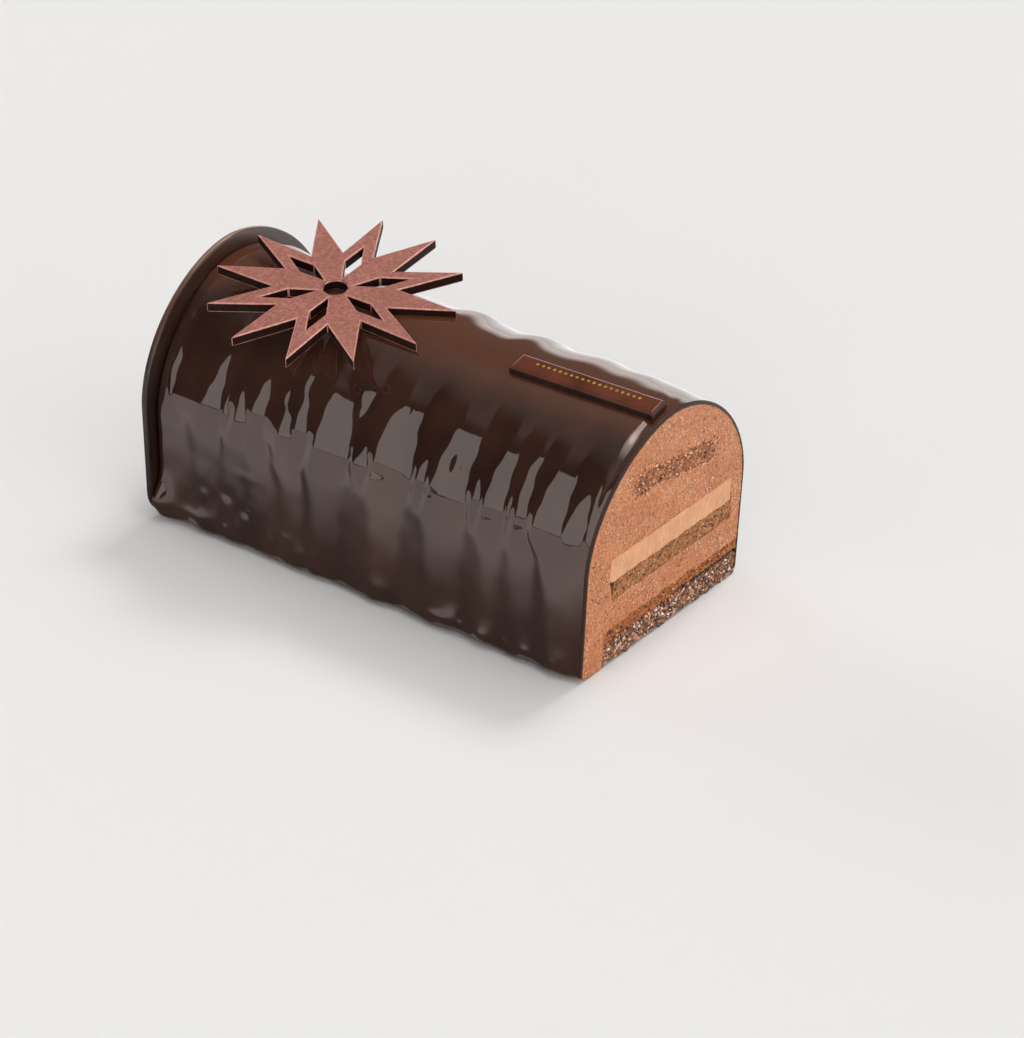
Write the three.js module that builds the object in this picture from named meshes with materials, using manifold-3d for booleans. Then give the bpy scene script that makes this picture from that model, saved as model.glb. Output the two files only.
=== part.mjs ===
// Yule log cake, cut at one end: a moulded mousse log with biscuit, cream and crunch layers running
// through it, a poured glaze, a thin end plate, a pierced star and a bare bar laid on top.
//
// Millimetres. X runs along the log from the end plate to the cut, Y across it, Z up from the
// surface that it stands on. The origin is under the middle of the whole cake.

import * as THREE from 'three';
import { mergeVertices } from 'three/addons/utils/BufferGeometryUtils.js';
import Module from 'manifold-3d';

const wasm = await Module();
wasm.setup();

const GAP = 0.3;
const DEGREE = Math.PI / 180;

// The log: an arch with upright walls, as it comes out of a gutter mould.
const LENGTH = 174.8;
const MOUSSE_WIDTH = 80;
const MOUSSE_HEIGHT = 77.4;
const SHOULDER_HEIGHT = 37.5;
const ARCH_ROUNDING = 1.854;
const MOUSSE_FLOOR = 0.4;

// The cut: the knife went in slightly askew, so the face turns and leans outwards at the top.
const CUT_AT = 84.3;
const CUT_TURN = 1.63 * DEGREE;
const CUT_LEAN = 2.81 * DEGREE;
const CUT_PIVOT_HEIGHT = 22;

// The glaze: how thick it lies, and how it thins towards the cut.
const GLAZE_DEPTH = 2.0;
const GLAZE_DEPTH_AT_CUT = 1.1;
const GLAZE_THINNING_LENGTH = 13;
const GLAZE_FOOT_HEIGHT = 1.7;
const GLAZE_FOOT_WAVE = 0.7;
const FOOT_BEAD = { height: 6, reach: 1.1, spread: 4.5 };
const CORNER_BEAD = { height: 9, reach: 4.6, spread: 6.5, length: 7 };

// Runs where the glaze dripped down the walls: [place along X, how far it stands out, half width].
const RUNS = [
    [-68, 0.7, 3.8], [-54, 0.9, 3.8], [-37, 0.9, 4.2], [-21, 0.9, 4], [-1, 1.2, 4.8],
    [22, 1.2, 4.5], [43, 1.0, 4.2], [56, 0.8, 3.6], [63.5, 0.7, 3.2],
];
// Mounds on the far side of the crown, in the same terms.
const MOUNDS = [[-80, 2.2, 8], [-30, 0.8, 12], [-2, 1.9, 8], [21, 0.9, 7], [50, 1.0, 10]];
const MOUND_CENTRE = 21;
const MOUND_SPREAD = 17;

// The end plate: a thin arch that stands proud of the glaze all round.
const PLATE_THICKNESS = 2.3;
const PLATE_SIDE_REACH = 5.7;
const PLATE_TOP_REACH = 8.3;
const PLATE_SHOULDER = 41.6;
const PLATE_CORNER_RADIUS = 10;
const PLATE_LIFT = 0.4;
const PLATE_EDGE = 0.4;

// The layers, each a strip across the section: low and high edges in Z, ends in Y.
// relief is how far crumbs are pulled out of the cut face, ragged how far the strip's edges wander.
const LAYERS = {
    crunch_base: {
        y: [-30, 39.7], z: [0, 8.6], relief: 1.0, ragged: 0.5, tilt: 0, bow: 0, colour: 0x4a2a18, roughness: 0.6,
    },
    chocolate_film: {
        y: [4, 39.7], z: [8.9, 9.6], relief: 0.1, ragged: 0, tilt: 0, bow: 0, colour: 0x2a120a, roughness: 0.4,
    },
    bottom_biscuit: {
        y: [-29, 39.7], z: [9.9, 13.2], relief: 0.6, ragged: 0.25, tilt: 0, bow: 0, colour: 0x6d452b, roughness: 0.8,
    },
    middle_biscuit: {
        y: [-26.5, 35], z: [23.5, 30.4], relief: 0.4, ragged: 0.3, tilt: 0, bow: 0, colour: 0x855c41, roughness: 0.85,
    },
    cream_layer: {
        y: [-28.5, 34], z: [30.7, 38.6], relief: 0.1, ragged: 0.2, tilt: 0, bow: 0, colour: 0xcf9a6c, roughness: 0.6,
    },
    top_biscuit: {
        y: [-19, 23.5], z: [53.4, 60.2], relief: 0.4, ragged: 0.4, tilt: -8, bow: 1.0, colour: 0x7a4c35, roughness: 0.85,
    },
};
const LAYER_STEP = 2.6;
const CRUMB_PITCH = 2.4;

// The star: twelve points, with a pierced diamond in every other arm.
const STAR_RADIUS = 40.9;
const STAR_THICKNESS = 3.5;
const STAR_POINTS = 12;
const STAR_VALLEY = 0.49 * STAR_RADIUS;
const STAR_HOLE = 0.095 * STAR_RADIUS;
const STAR_HOLE_SIDES = 20;
const STAR_TOP_CENTRE = new THREE.Vector3(-39.1, -4.9, 82.9);
const STAR_SPIN = 136.2 * DEGREE;
const STAR_DIP_ALONG = 3.2 * DEGREE;
const STAR_DIP_ACROSS = -6.5 * DEGREE;
const DIAMOND = {
    inner: 0.14 * STAR_RADIUS, widest: 0.357 * STAR_RADIUS, outer: 0.59 * STAR_RADIUS,
    halfWidth: 0.0615 * STAR_RADIUS,
};

// The bar on the crown: bare, with chamfered edges.
const BAR_LENGTH = 52;
const BAR_WIDTH = 7.8;
const BAR_THICKNESS = 2.8;
const BAR_CHAMFER = 0.45;
const BAR_TOP_CENTRE = new THREE.Vector3(58.7, -6.0, 81.2);
const BAR_TURN = 1.3 * DEGREE;
const BAR_DIP = 9.2 * DEGREE;

// Mesh fineness.
const GLAZE_STATIONS = 62;
const WALL_STEPS = 5;
const DOME_STEPS = 22;

const PLATE_BACK = -LENGTH / 2;
const LOG_START = PLATE_BACK + PLATE_THICKNESS + GAP;
const WALL_Y = MOUSSE_WIDTH / 2;

// Where the knife passed, for a point of the section.
function cutX(y, z) {
    return CUT_AT + Math.tan(CUT_TURN) * y + Math.tan(CUT_LEAN) * (z - CUT_PIVOT_HEIGHT);
}

// A repeatable scatter value between 0 and 1 for two whole numbers.
function scatter(a, b) {
    const value = Math.sin(a * 127.1 + b * 311.7) * 43758.5453;
    return value - Math.floor(value);
}

// A smooth bump of height 1 that fades to 0 over the given spread.
function bump(distance, spread) {
    return Math.exp(-((distance / spread) ** 2));
}

// The arch as points [y, z] from the foot of the near wall, over the crown, to the far foot.
function archPoints(halfWidth, crown, shoulder, rounding, foot) {
    const points = [];
    for (let i = 0; i < WALL_STEPS; i += 1) {
        points.push([-halfWidth, foot + (shoulder - foot) * i / WALL_STEPS]);
    }
    for (let i = 0; i <= DOME_STEPS; i += 1) {
        const angle = Math.PI * (1 - i / DOME_STEPS);
        const across = Math.sign(Math.cos(angle)) * Math.abs(Math.cos(angle)) ** (2 / rounding);
        const rise = Math.sin(angle) ** (2 / rounding);
        points.push([halfWidth * across, shoulder + (crown - shoulder) * rise]);
    }
    for (let i = WALL_STEPS - 1; i >= 0; i -= 1) {
        points.push([halfWidth, foot + (shoulder - foot) * i / WALL_STEPS]);
    }
    return points;
}

// The outward direction at each point of an arch.
function archNormals(points) {
    return points.map((point, i) => {
        const before = points[Math.max(i - 1, 0)];
        const after = points[Math.min(i + 1, points.length - 1)];
        const dy = after[0] - before[0];
        const dz = after[1] - before[1];
        const size = Math.hypot(dy, dz);
        return [-dz / size, dy / size];
    });
}

// How thick the glaze lies at a place x along the log, for a point [y, z] of the mousse.
function glazeDepth(x, y, z) {
    const nearCut = THREE.MathUtils.clamp((CUT_AT - x) / GLAZE_THINNING_LENGTH, 0, 1);
    const eased = nearCut * nearCut * (3 - 2 * nearCut);
    const onWall = THREE.MathUtils.smoothstep(MOUSSE_HEIGHT - z, 2, 22);
    const runs = RUNS.reduce((sum, [at, height, width]) => sum + height * bump(x - at, width), 0);
    const mounds = MOUNDS.reduce((sum, [at, height, width]) => sum + height * bump(x - at, width), 0);
    const mound = mounds * bump(y - MOUND_CENTRE, MOUND_SPREAD);
    const bead = FOOT_BEAD.reach * bump(z - FOOT_BEAD.height, FOOT_BEAD.spread);
    const beadWave = 0.6 + 0.5 * Math.sin(x * 0.31) * Math.sin(x * 0.13 + 1);
    const towardPlate = bump(x - LOG_START, CORNER_BEAD.length);
    const nearSide = y < 0 ? 1 : 0.5;
    const corner = nearSide * CORNER_BEAD.reach * towardPlate * bump(z - CORNER_BEAD.height, CORNER_BEAD.spread);
    const full = GLAZE_DEPTH - 0.5 + onWall * (runs - 0.1) + 0.45 * (1 - onWall) + mound + bead * beadWave + corner;
    return GLAZE_DEPTH_AT_CUT + (full - GLAZE_DEPTH_AT_CUT) * eased;
}

// How high the glaze ends above the surface that the cake stands on.
function footHeight(x, side) {
    const wave = Math.sin(x * 0.21 + side) * 0.6 + Math.sin(x * 0.47 + 2 * side) * 0.4;
    return GLAZE_FOOT_HEIGHT + GLAZE_FOOT_WAVE * wave;
}

// A closed solid swept along X through rings of [x, y, z] points, all with the same count.
// cap gives the triangles that close one end, as indices into a ring.
function sweepRings(rings, cap) {
    const count = rings[0].length;
    const positions = rings.flat(2);
    const index = [];
    for (let i = 0; i + 1 < rings.length; i += 1) {
        for (let j = 0; j < count; j += 1) {
            const next = (j + 1) % count;
            const a = i * count + j;
            const b = i * count + next;
            const c = a + count;
            const d = b + count;
            index.push(a, c, b, b, c, d);
        }
    }
    const last = (rings.length - 1) * count;
    for (const [a, b, c] of cap) {
        index.push(a, b, c);
        index.push(last + a, last + c, last + b);
    }
    const geometry = new THREE.BufferGeometry();
    geometry.setAttribute('position', new THREE.Float32BufferAttribute(positions, 3));
    geometry.setIndex(index);
    return geometry;
}

// Turns a geometry inside out where its faces point inwards.
function facingOut(geometry) {
    const merged = mergeVertices(geometry, 1e-5);
    const position = merged.attributes.position;
    const index = merged.index.array;
    const [a, b, c] = [new THREE.Vector3(), new THREE.Vector3(), new THREE.Vector3()];
    let volume = 0;
    for (let i = 0; i < index.length; i += 3) {
        a.fromBufferAttribute(position, index[i]);
        b.fromBufferAttribute(position, index[i + 1]);
        c.fromBufferAttribute(position, index[i + 2]);
        volume += a.dot(b.clone().cross(c));
    }
    if (volume < 0) {
        for (let i = 0; i < index.length; i += 3) {
            [index[i + 1], index[i + 2]] = [index[i + 2], index[i + 1]];
        }
    }
    return merged;
}

function toManifold(geometry) {
    const plain = geometry.clone();
    plain.deleteAttribute('normal');
    plain.deleteAttribute('uv');
    const merged = facingOut(plain);
    return new wasm.Manifold(new wasm.Mesh({
        numProp: 3,
        vertProperties: new Float32Array(merged.attributes.position.array),
        triVerts: new Uint32Array(merged.index.array),
    }));
}

function fromManifold(solid) {
    const mesh = solid.getMesh();
    const geometry = new THREE.BufferGeometry();
    geometry.setAttribute('position', new THREE.BufferAttribute(new Float32Array(mesh.vertProperties), 3));
    geometry.setIndex(new THREE.BufferAttribute(new Uint32Array(mesh.triVerts), 1));
    return geometry;
}

// Glaze rings: the outer skin from the near foot to the far foot, then the inner skin back.
function glazeRing(station, clearance) {
    const along = station / GLAZE_STATIONS;
    const base = archPoints(WALL_Y, MOUSSE_HEIGHT, SHOULDER_HEIGHT, ARCH_ROUNDING, 0);
    const normals = archNormals(base);
    const shift = ([y, z], i, depth) => [y + normals[i][0] * depth, z + normals[i][1] * depth];
    const place = (y, z) => LOG_START + (cutX(y, z) - LOG_START) * along;
    const outer = base.map((point, i) => {
        const x = place(point[0], point[1]);
        const foot = footHeight(x, Math.sign(point[0]));
        const raised = [point[0], Math.max(point[1], foot)];
        const [y, z] = shift(raised, i, glazeDepth(x, raised[0], raised[1]) + clearance);
        return [place(y, z), y, z];
    });
    const inner = base.map((point, i) => {
        const x = place(point[0], point[1]);
        const foot = footHeight(x, Math.sign(point[0]));
        const [y, z] = shift([point[0], Math.max(point[1], foot)], i, GAP);
        return [place(y, z), y, z];
    });
    return { outer, inner };
}

function makeGlaze() {
    const rings = [];
    for (let i = 0; i <= GLAZE_STATIONS; i += 1) {
        const { outer, inner } = glazeRing(i, 0);
        rings.push([...outer, ...inner.reverse()]);
    }
    const count = rings[0].length;
    const cap = [];
    for (let j = 0; j + 1 < count / 2; j += 1) {
        const across = count - 1 - j;
        cap.push([j, j + 1, across], [j + 1, across - 1, across]);
    }
    return facingOut(sweepRings(rings, cap));
}

// The whole glazed log as one block, a gap larger than it is, to trim what lies on it.
function makeEnvelope() {
    const rings = [];
    for (let i = 0; i <= GLAZE_STATIONS; i += 1) {
        rings.push(glazeRing(i, GAP).outer);
    }
    const count = rings[0].length;
    const cap = [];
    for (let j = 1; j + 1 < count; j += 1) {
        cap.push([0, j, j + 1]);
    }
    return toManifold(sweepRings(rings, cap));
}

// A straight extrusion of a section in Y and Z, from the end plate to the slanting cut.
function sectionSolid(shape) {
    const geometry = new THREE.ExtrudeGeometry(shape, { depth: 1, bevelEnabled: false, steps: 1 });
    const position = geometry.attributes.position;
    for (let i = 0; i < position.count; i += 1) {
        const [y, z, along] = [position.getX(i), position.getY(i), position.getZ(i)];
        position.setXYZ(i, LOG_START + (cutX(y, z) - LOG_START) * along, y, z);
    }
    geometry.deleteAttribute('normal');
    geometry.deleteAttribute('uv');
    return facingOut(geometry);
}

// A point of a layer's section after the strip's bow and tilt.
function layerPoint(layer, y, z) {
    const middleY = (layer.y[0] + layer.y[1]) / 2;
    const middleZ = (layer.z[0] + layer.z[1]) / 2;
    const half = (layer.y[1] - layer.y[0]) / 2;
    const lift = layer.bow * (1 - ((y - middleY) / half) ** 2);
    const turn = layer.tilt * DEGREE;
    const [dy, dz] = [y - middleY, z - middleZ + lift];
    return [middleY + dy * Math.cos(turn) - dz * Math.sin(turn), middleZ + dy * Math.sin(turn) + dz * Math.cos(turn)];
}

// One layer of the log: a long strip with ragged edges, and crumbs pulled out of its cut face.
function makeLayer(layer, seed) {
    const across = Math.max(2, Math.round((layer.y[1] - layer.y[0]) / LAYER_STEP));
    const deep = Math.max(1, Math.round((layer.z[1] - layer.z[0]) / CRUMB_PITCH));
    const stations = [0, 0.9, 1];
    const point = (station, i, j) => {
        const y = layer.y[0] + (layer.y[1] - layer.y[0]) * i / across;
        const z = layer.z[0] + (layer.z[1] - layer.z[0]) * j / deep;
        const wander = layer.ragged * (scatter(i + seed, j) - 0.5);
        const onEdge = j === 0 || j === deep;
        const atFloor = layer.z[0] === 0 && j === 0;
        const raised = onEdge && !atFloor ? wander : 0;
        const chipped = atFloor && station === 1 ? 1.2 * scatter(i, seed) * layer.ragged : 0;
        const [py, pz] = layerPoint(layer, y, z + raised + chipped);
        const pulled = station === 1 ? layer.relief * scatter(i * 3 + seed, j * 7 + 1) : 0;
        return [LOG_START + (cutX(py, pz) - LOG_START) * station - pulled, py, pz];
    };
    const positions = [];
    const index = [];
    const quad = (a, b, c, d) => {
        const base = positions.length / 3;
        positions.push(...a, ...b, ...c, ...d);
        index.push(base, base + 1, base + 2, base, base + 2, base + 3);
    };
    for (let s = 0; s + 1 < stations.length; s += 1) {
        const [from, to] = [stations[s], stations[s + 1]];
        for (let i = 0; i < across; i += 1) {
            quad(point(from, i, 0), point(from, i + 1, 0), point(to, i + 1, 0), point(to, i, 0));
            quad(point(from, i, deep), point(to, i, deep), point(to, i + 1, deep), point(from, i + 1, deep));
        }
        for (let j = 0; j < deep; j += 1) {
            quad(point(from, 0, j), point(to, 0, j), point(to, 0, j + 1), point(from, 0, j + 1));
            quad(point(from, across, j), point(from, across, j + 1), point(to, across, j + 1), point(to, across, j));
        }
    }
    for (let i = 0; i < across; i += 1) {
        for (let j = 0; j < deep; j += 1) {
            quad(point(0, i, j), point(0, i, j + 1), point(0, i + 1, j + 1), point(0, i + 1, j));
            quad(point(1, i, j), point(1, i + 1, j), point(1, i + 1, j + 1), point(1, i, j + 1));
        }
    }
    const geometry = new THREE.BufferGeometry();
    geometry.setAttribute('position', new THREE.Float32BufferAttribute(positions, 3));
    geometry.setIndex(index);
    return facingOut(geometry);
}

// The outline of the pocket that one or more stacked layers lie in, a gap larger than they are.
function pocketPath(layers) {
    const left = Math.min(...layers.map((layer) => layer.y[0])) - GAP;
    const right = Math.max(...layers.map((layer) => layer.y[1])) + GAP;
    const low = Math.min(...layers.map((layer) => layer.z[0] - layer.ragged / 2)) - GAP;
    const high = Math.max(...layers.map((layer) => layer.z[1] + layer.ragged / 2)) + GAP;
    const steps = 8;
    const path = [];
    for (let i = 0; i <= steps; i += 1) {
        path.push(layerPoint(layers[0], left + (right - left) * i / steps, low));
    }
    for (let i = steps; i >= 0; i -= 1) {
        path.push(layerPoint(layers[0], left + (right - left) * i / steps, high));
    }
    return path.map(([y, z]) => new THREE.Vector2(y, z));
}

function makeMousse() {
    const outline = archPoints(WALL_Y, MOUSSE_HEIGHT, SHOULDER_HEIGHT, ARCH_ROUNDING, MOUSSE_FLOOR);
    const { crunch_base: base, bottom_biscuit: lowBiscuit } = LAYERS;
    const notchTop = lowBiscuit.z[1] + lowBiscuit.ragged / 2 + GAP;
    const notchLeft = base.y[0] - GAP;
    const overNotch = outline.filter(([y, z]) => y < 0 || z > notchTop);
    const shape = new THREE.Shape(overNotch.map(([y, z]) => new THREE.Vector2(y, z)));
    shape.lineTo(WALL_Y, notchTop);
    shape.lineTo(notchLeft, notchTop);
    shape.lineTo(notchLeft, MOUSSE_FLOOR);
    shape.closePath();
    const pockets = [[LAYERS.middle_biscuit, LAYERS.cream_layer], [LAYERS.top_biscuit]];
    shape.holes = pockets.map((layers) => new THREE.Path(pocketPath(layers)));
    return sectionSolid(shape);
}

// The end plate's outline: the arch again, wider, with rounded corners at its foot.
function makeEndPlate() {
    const halfWidth = WALL_Y + PLATE_SIDE_REACH - PLATE_EDGE;
    const crown = MOUSSE_HEIGHT + PLATE_TOP_REACH - PLATE_EDGE;
    const foot = PLATE_LIFT + PLATE_EDGE;
    const radius = PLATE_CORNER_RADIUS;
    const arch = archPoints(halfWidth, crown, PLATE_SHOULDER, ARCH_ROUNDING, foot + radius);
    const shape = new THREE.Shape(arch.map(([y, z]) => new THREE.Vector2(y, z)));
    shape.absarc(halfWidth - radius, foot + radius, radius, 0, -Math.PI / 2, true);
    shape.absarc(-halfWidth + radius, foot + radius, radius, -Math.PI / 2, -Math.PI, true);
    const geometry = new THREE.ExtrudeGeometry(shape, {
        depth: PLATE_THICKNESS - 2 * PLATE_EDGE,
        bevelEnabled: true,
        bevelThickness: PLATE_EDGE,
        bevelSize: PLATE_EDGE,
        bevelSegments: 1,
        curveSegments: 5,
    });
    // The shape's X and Y become the cake's Y and Z, and its depth runs along X.
    geometry.applyMatrix4(new THREE.Matrix4().makeBasis(
        new THREE.Vector3(0, 1, 0), new THREE.Vector3(0, 0, 1), new THREE.Vector3(1, 0, 0),
    ));
    geometry.translate(PLATE_BACK + PLATE_EDGE, 0, 0);
    return geometry;
}

function polar(radius, angle) {
    return new THREE.Vector2(radius * Math.cos(angle), radius * Math.sin(angle));
}

function makeStarShape() {
    const step = 2 * Math.PI / STAR_POINTS;
    const outline = [];
    for (let k = 0; k < STAR_POINTS; k += 1) {
        const angle = STAR_SPIN - k * step;
        outline.push(polar(STAR_RADIUS, angle), polar(STAR_VALLEY, angle - step / 2));
    }
    const shape = new THREE.Shape(outline.reverse());
    const hole = new THREE.Path();
    hole.absarc(0, 0, STAR_HOLE, 0, 2 * Math.PI, true);
    shape.holes.push(hole);
    for (let k = 1; k < STAR_POINTS; k += 2) {
        const angle = STAR_SPIN - k * step;
        const swing = Math.atan2(DIAMOND.halfWidth, DIAMOND.widest);
        const widest = Math.hypot(DIAMOND.halfWidth, DIAMOND.widest);
        shape.holes.push(new THREE.Path([
            polar(DIAMOND.inner, angle), polar(widest, angle + swing),
            polar(DIAMOND.outer, angle), polar(widest, angle - swing),
        ]));
    }
    return shape;
}

// The star lies on the crown, dipping a little along the log and towards its near side.
function makeStar(envelope) {
    const geometry = new THREE.ExtrudeGeometry(makeStarShape(), {
        depth: STAR_THICKNESS, bevelEnabled: false, curveSegments: STAR_HOLE_SIDES / 2,
    });
    geometry.translate(0, 0, -STAR_THICKNESS);
    const normal = new THREE.Vector3(Math.sin(STAR_DIP_ALONG), Math.sin(STAR_DIP_ACROSS), 1).normalize();
    const along = new THREE.Vector3(1, 0, 0).addScaledVector(normal, -normal.x).normalize();
    const across = normal.clone().cross(along);
    geometry.applyMatrix4(new THREE.Matrix4().makeBasis(along, across, normal).setPosition(STAR_TOP_CENTRE));
    return fromManifold(toManifold(geometry).subtract(envelope));
}

// The bar lies along the crown, its underside following the glaze.
function makeBar(envelope) {
    const inset = BAR_CHAMFER;
    const halfLength = BAR_LENGTH / 2 - inset;
    const halfWidth = BAR_WIDTH / 2 - inset;
    const shape = new THREE.Shape([
        new THREE.Vector2(-halfLength, -halfWidth), new THREE.Vector2(halfLength, -halfWidth),
        new THREE.Vector2(halfLength, halfWidth), new THREE.Vector2(-halfLength, halfWidth),
    ]);
    const geometry = new THREE.ExtrudeGeometry(shape, {
        depth: BAR_THICKNESS - 2 * inset,
        bevelEnabled: true,
        bevelThickness: inset,
        bevelSize: inset,
        bevelSegments: 1,
    });
    geometry.translate(0, 0, inset - BAR_THICKNESS);
    const turn = new THREE.Matrix4().makeRotationX(BAR_DIP).multiply(new THREE.Matrix4().makeRotationZ(BAR_TURN));
    geometry.applyMatrix4(turn.setPosition(BAR_TOP_CENTRE));
    return fromManifold(toManifold(geometry).subtract(envelope));
}

function addPiece(group, name, geometry, colour, roughness) {
    const material = new THREE.MeshStandardMaterial({ color: colour, roughness, metalness: 0 });
    const mesh = new THREE.Mesh(geometry, material);
    mesh.name = name;
    group.add(mesh);
}

const cake = new THREE.Group();
const envelope = makeEnvelope();
addPiece(cake, 'mousse', makeMousse(), 0xc07b50, 0.6);
Object.entries(LAYERS).forEach(([name, layer], order) => {
    addPiece(cake, name, makeLayer(layer, 11 * order + 5), layer.colour, layer.roughness);
});
addPiece(cake, 'glaze', makeGlaze(), 0x34201a, 0.12);
addPiece(cake, 'end_plate', makeEndPlate(), 0x4a2e25, 0.35);
addPiece(cake, 'star', makeStar(envelope), 0x7d4a40, 0.6);
addPiece(cake, 'plaque', makeBar(envelope), 0x3a2018, 0.3);

export default cake;
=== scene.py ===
# %% [markdown]
# This lesson dresses a yule log cake. The cake is a moulded mousse with biscuit, cream and crunch
# running through it. A mirror glaze is poured over it, a thin chocolate arch closes one end, and a
# pierced star and a small bar lie on top. The other end is cut, so that the layers show.
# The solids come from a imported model. Each finer piece made here stands where its solid is.

# %% The frame and the units
import math

import bpy
import numpy as np
from mathutils import Matrix, Vector
from mathutils.geometry import delaunay_2d_cdt


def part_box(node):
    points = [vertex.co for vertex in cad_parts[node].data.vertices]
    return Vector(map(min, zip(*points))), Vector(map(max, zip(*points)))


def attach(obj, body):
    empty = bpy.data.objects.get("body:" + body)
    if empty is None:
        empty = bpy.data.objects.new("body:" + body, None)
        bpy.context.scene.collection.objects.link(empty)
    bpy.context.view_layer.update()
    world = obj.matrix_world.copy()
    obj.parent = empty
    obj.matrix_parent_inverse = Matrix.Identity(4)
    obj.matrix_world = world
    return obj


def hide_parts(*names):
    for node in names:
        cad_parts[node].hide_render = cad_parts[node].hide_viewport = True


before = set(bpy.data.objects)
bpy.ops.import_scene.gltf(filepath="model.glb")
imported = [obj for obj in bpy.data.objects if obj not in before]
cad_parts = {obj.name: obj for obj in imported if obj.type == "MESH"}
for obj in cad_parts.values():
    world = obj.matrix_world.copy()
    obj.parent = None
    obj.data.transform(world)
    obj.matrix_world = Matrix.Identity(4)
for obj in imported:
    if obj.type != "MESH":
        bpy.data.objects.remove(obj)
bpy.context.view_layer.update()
MM = 0.001
print("solids:", sorted(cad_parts))

# %% [markdown]
# Three helpers serve every piece. The first turns arrays of points in millimetres into a mesh in
# metres. The second adds a node to a tree with its settings and its links. The third turns a colour
# as a painter would note it, sRGB in hex, into the linear values that a shader adds up.

# %% Helpers for meshes and nodes


def new_piece(name, points, faces, material, sharp_above=35.0):
    """A mesh object at the origin from points in millimetres, shaded smooth up to a crease angle."""
    mesh = bpy.data.meshes.new(name)
    mesh.from_pydata((np.asarray(points) * MM).tolist(), [], faces)
    mesh.validate()
    mesh.shade_smooth()
    mesh.set_sharp_from_angle(angle=math.radians(sharp_above))
    mesh.materials.append(material)
    piece = bpy.data.objects.new(name, mesh)
    bpy.context.scene.collection.objects.link(piece)
    return piece


def output_of(source):
    """A socket stays itself, and a node stands for its first output in use."""
    if isinstance(source, bpy.types.Node):
        return next(socket for socket in source.outputs if socket.enabled)
    return source


def add_node(tree, kind, settings=None, links=None):
    """Adds a node. settings holds its properties, unlinked inputs and colour stops, links its sources."""
    node = tree.nodes.new(kind)
    for name, value in (settings or {}).items():
        if name == "stops":
            elements = node.color_ramp.elements
            elements.remove(elements[1])
            elements[0].position = value[0][0]
            elements[0].color = linear(value[0][1])
            for position, colour in value[1:]:
                elements.new(position).color = linear(colour)
        elif isinstance(name, str) and hasattr(node, name):
            setattr(node, name, value)
        else:
            node.inputs[name].default_value = value
    for name, source in (links or {}).items():
        tree.links.new(output_of(source), node.inputs[name])
    return node


def linear(colour):
    """A hex sRGB colour as linear RGBA."""
    parts = [int(colour[i : i + 2], 16) / 255 for i in (1, 3, 5)]
    return tuple(c / 12.92 if c <= 0.04045 else ((c + 0.055) / 1.055) ** 2.4 for c in parts) + (1.0,)


print("linear cream:", [round(c, 3) for c in linear("#cf9a6c")])

# %% Helpers for relief


def smooth_step(value, low, high):
    """0 below low, 1 above high, and an even slope between."""
    t = np.clip((value - low) / (high - low), 0, 1)
    return t * t * (3 - 2 * t)


def bump(distance, spread):
    """A bell of height 1."""
    return np.exp(-((distance / spread) ** 2))


def waves(x, s, pitch, seed):
    """A smooth random relief of about unit height: a sum of sine waves in random directions."""
    rng = np.random.default_rng(seed)
    total = np.zeros_like(x)
    count = 14
    for _ in range(count):
        heading = rng.uniform(0, math.pi)
        length = pitch * rng.uniform(0.7, 1.5)
        phase = rng.uniform(0, 2 * math.pi)
        total += np.sin((x * math.cos(heading) + s * math.sin(heading)) * 2 * math.pi / length + phase)
    return total * math.sqrt(2 / count)


samples = np.linspace(0, 99, 500)
print("waves rise to about", round(float(waves(samples, samples, 5, 1).std()), 2), "on average")

# %% [markdown]
# The camera looks down at the cut end from the right, as a product photographer would: far away,
# with a long lens, so that the log hardly tapers. The eye and the view were fitted to the log's
# edges, in millimetres from the middle of its foot.

# %% Camera
CAMERA_EYE = Vector((594.199, -771.303, 597.621))
CAMERA_AZIMUTH = math.radians(36.362)
CAMERA_ELEVATION = math.radians(31.145)
CAMERA_LENS = 122.95


def add_camera():
    data = bpy.data.cameras.new("camera")
    data.lens = CAMERA_LENS
    data.sensor_width = 36.0
    data.clip_start = 0.01
    camera = bpy.data.objects.new("camera", data)
    bpy.context.scene.collection.objects.link(camera)
    tilt = Matrix.Rotation(math.pi / 2 - CAMERA_ELEVATION, 4, "X")
    turn = Matrix.Rotation(CAMERA_AZIMUTH, 4, "Z")
    camera.matrix_world = Matrix.Translation(CAMERA_EYE * MM) @ turn @ tilt
    bpy.context.scene.camera = camera


add_camera()
print("camera distance:", round(CAMERA_EYE.length), "mm")

# %% [markdown]
# Everything follows one section: an arch with upright walls, as it comes out of a gutter mould. The
# dome is a superellipse a little leaner than a true ellipse. The knife went in slightly askew, so
# the cut plane is a function of the place in the section.

# %% Section and cut
MOUSSE_WIDTH = 80.0
MOUSSE_HEIGHT = 77.4
SHOULDER_HEIGHT = 37.5
ARCH_ROUNDING = 1.854
MOUSSE_FLOOR = 0.4
WALL_Y = MOUSSE_WIDTH / 2
GAP = 0.3

PLATE_THICKNESS = 2.3
PLATE_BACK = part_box("end_plate")[0].x / MM
PLATE_FRONT = PLATE_BACK + PLATE_THICKNESS
LOG_START = PLATE_FRONT + GAP

CUT_AT = 84.3
CUT_TURN = math.tan(math.radians(1.63))
CUT_LEAN = math.tan(math.radians(2.81))
CUT_PIVOT_HEIGHT = 22.0


def cut_x(y, z):
    """Where the knife passed, for points of the section."""
    return CUT_AT + CUT_TURN * y + CUT_LEAN * (z - CUT_PIVOT_HEIGHT)


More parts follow.
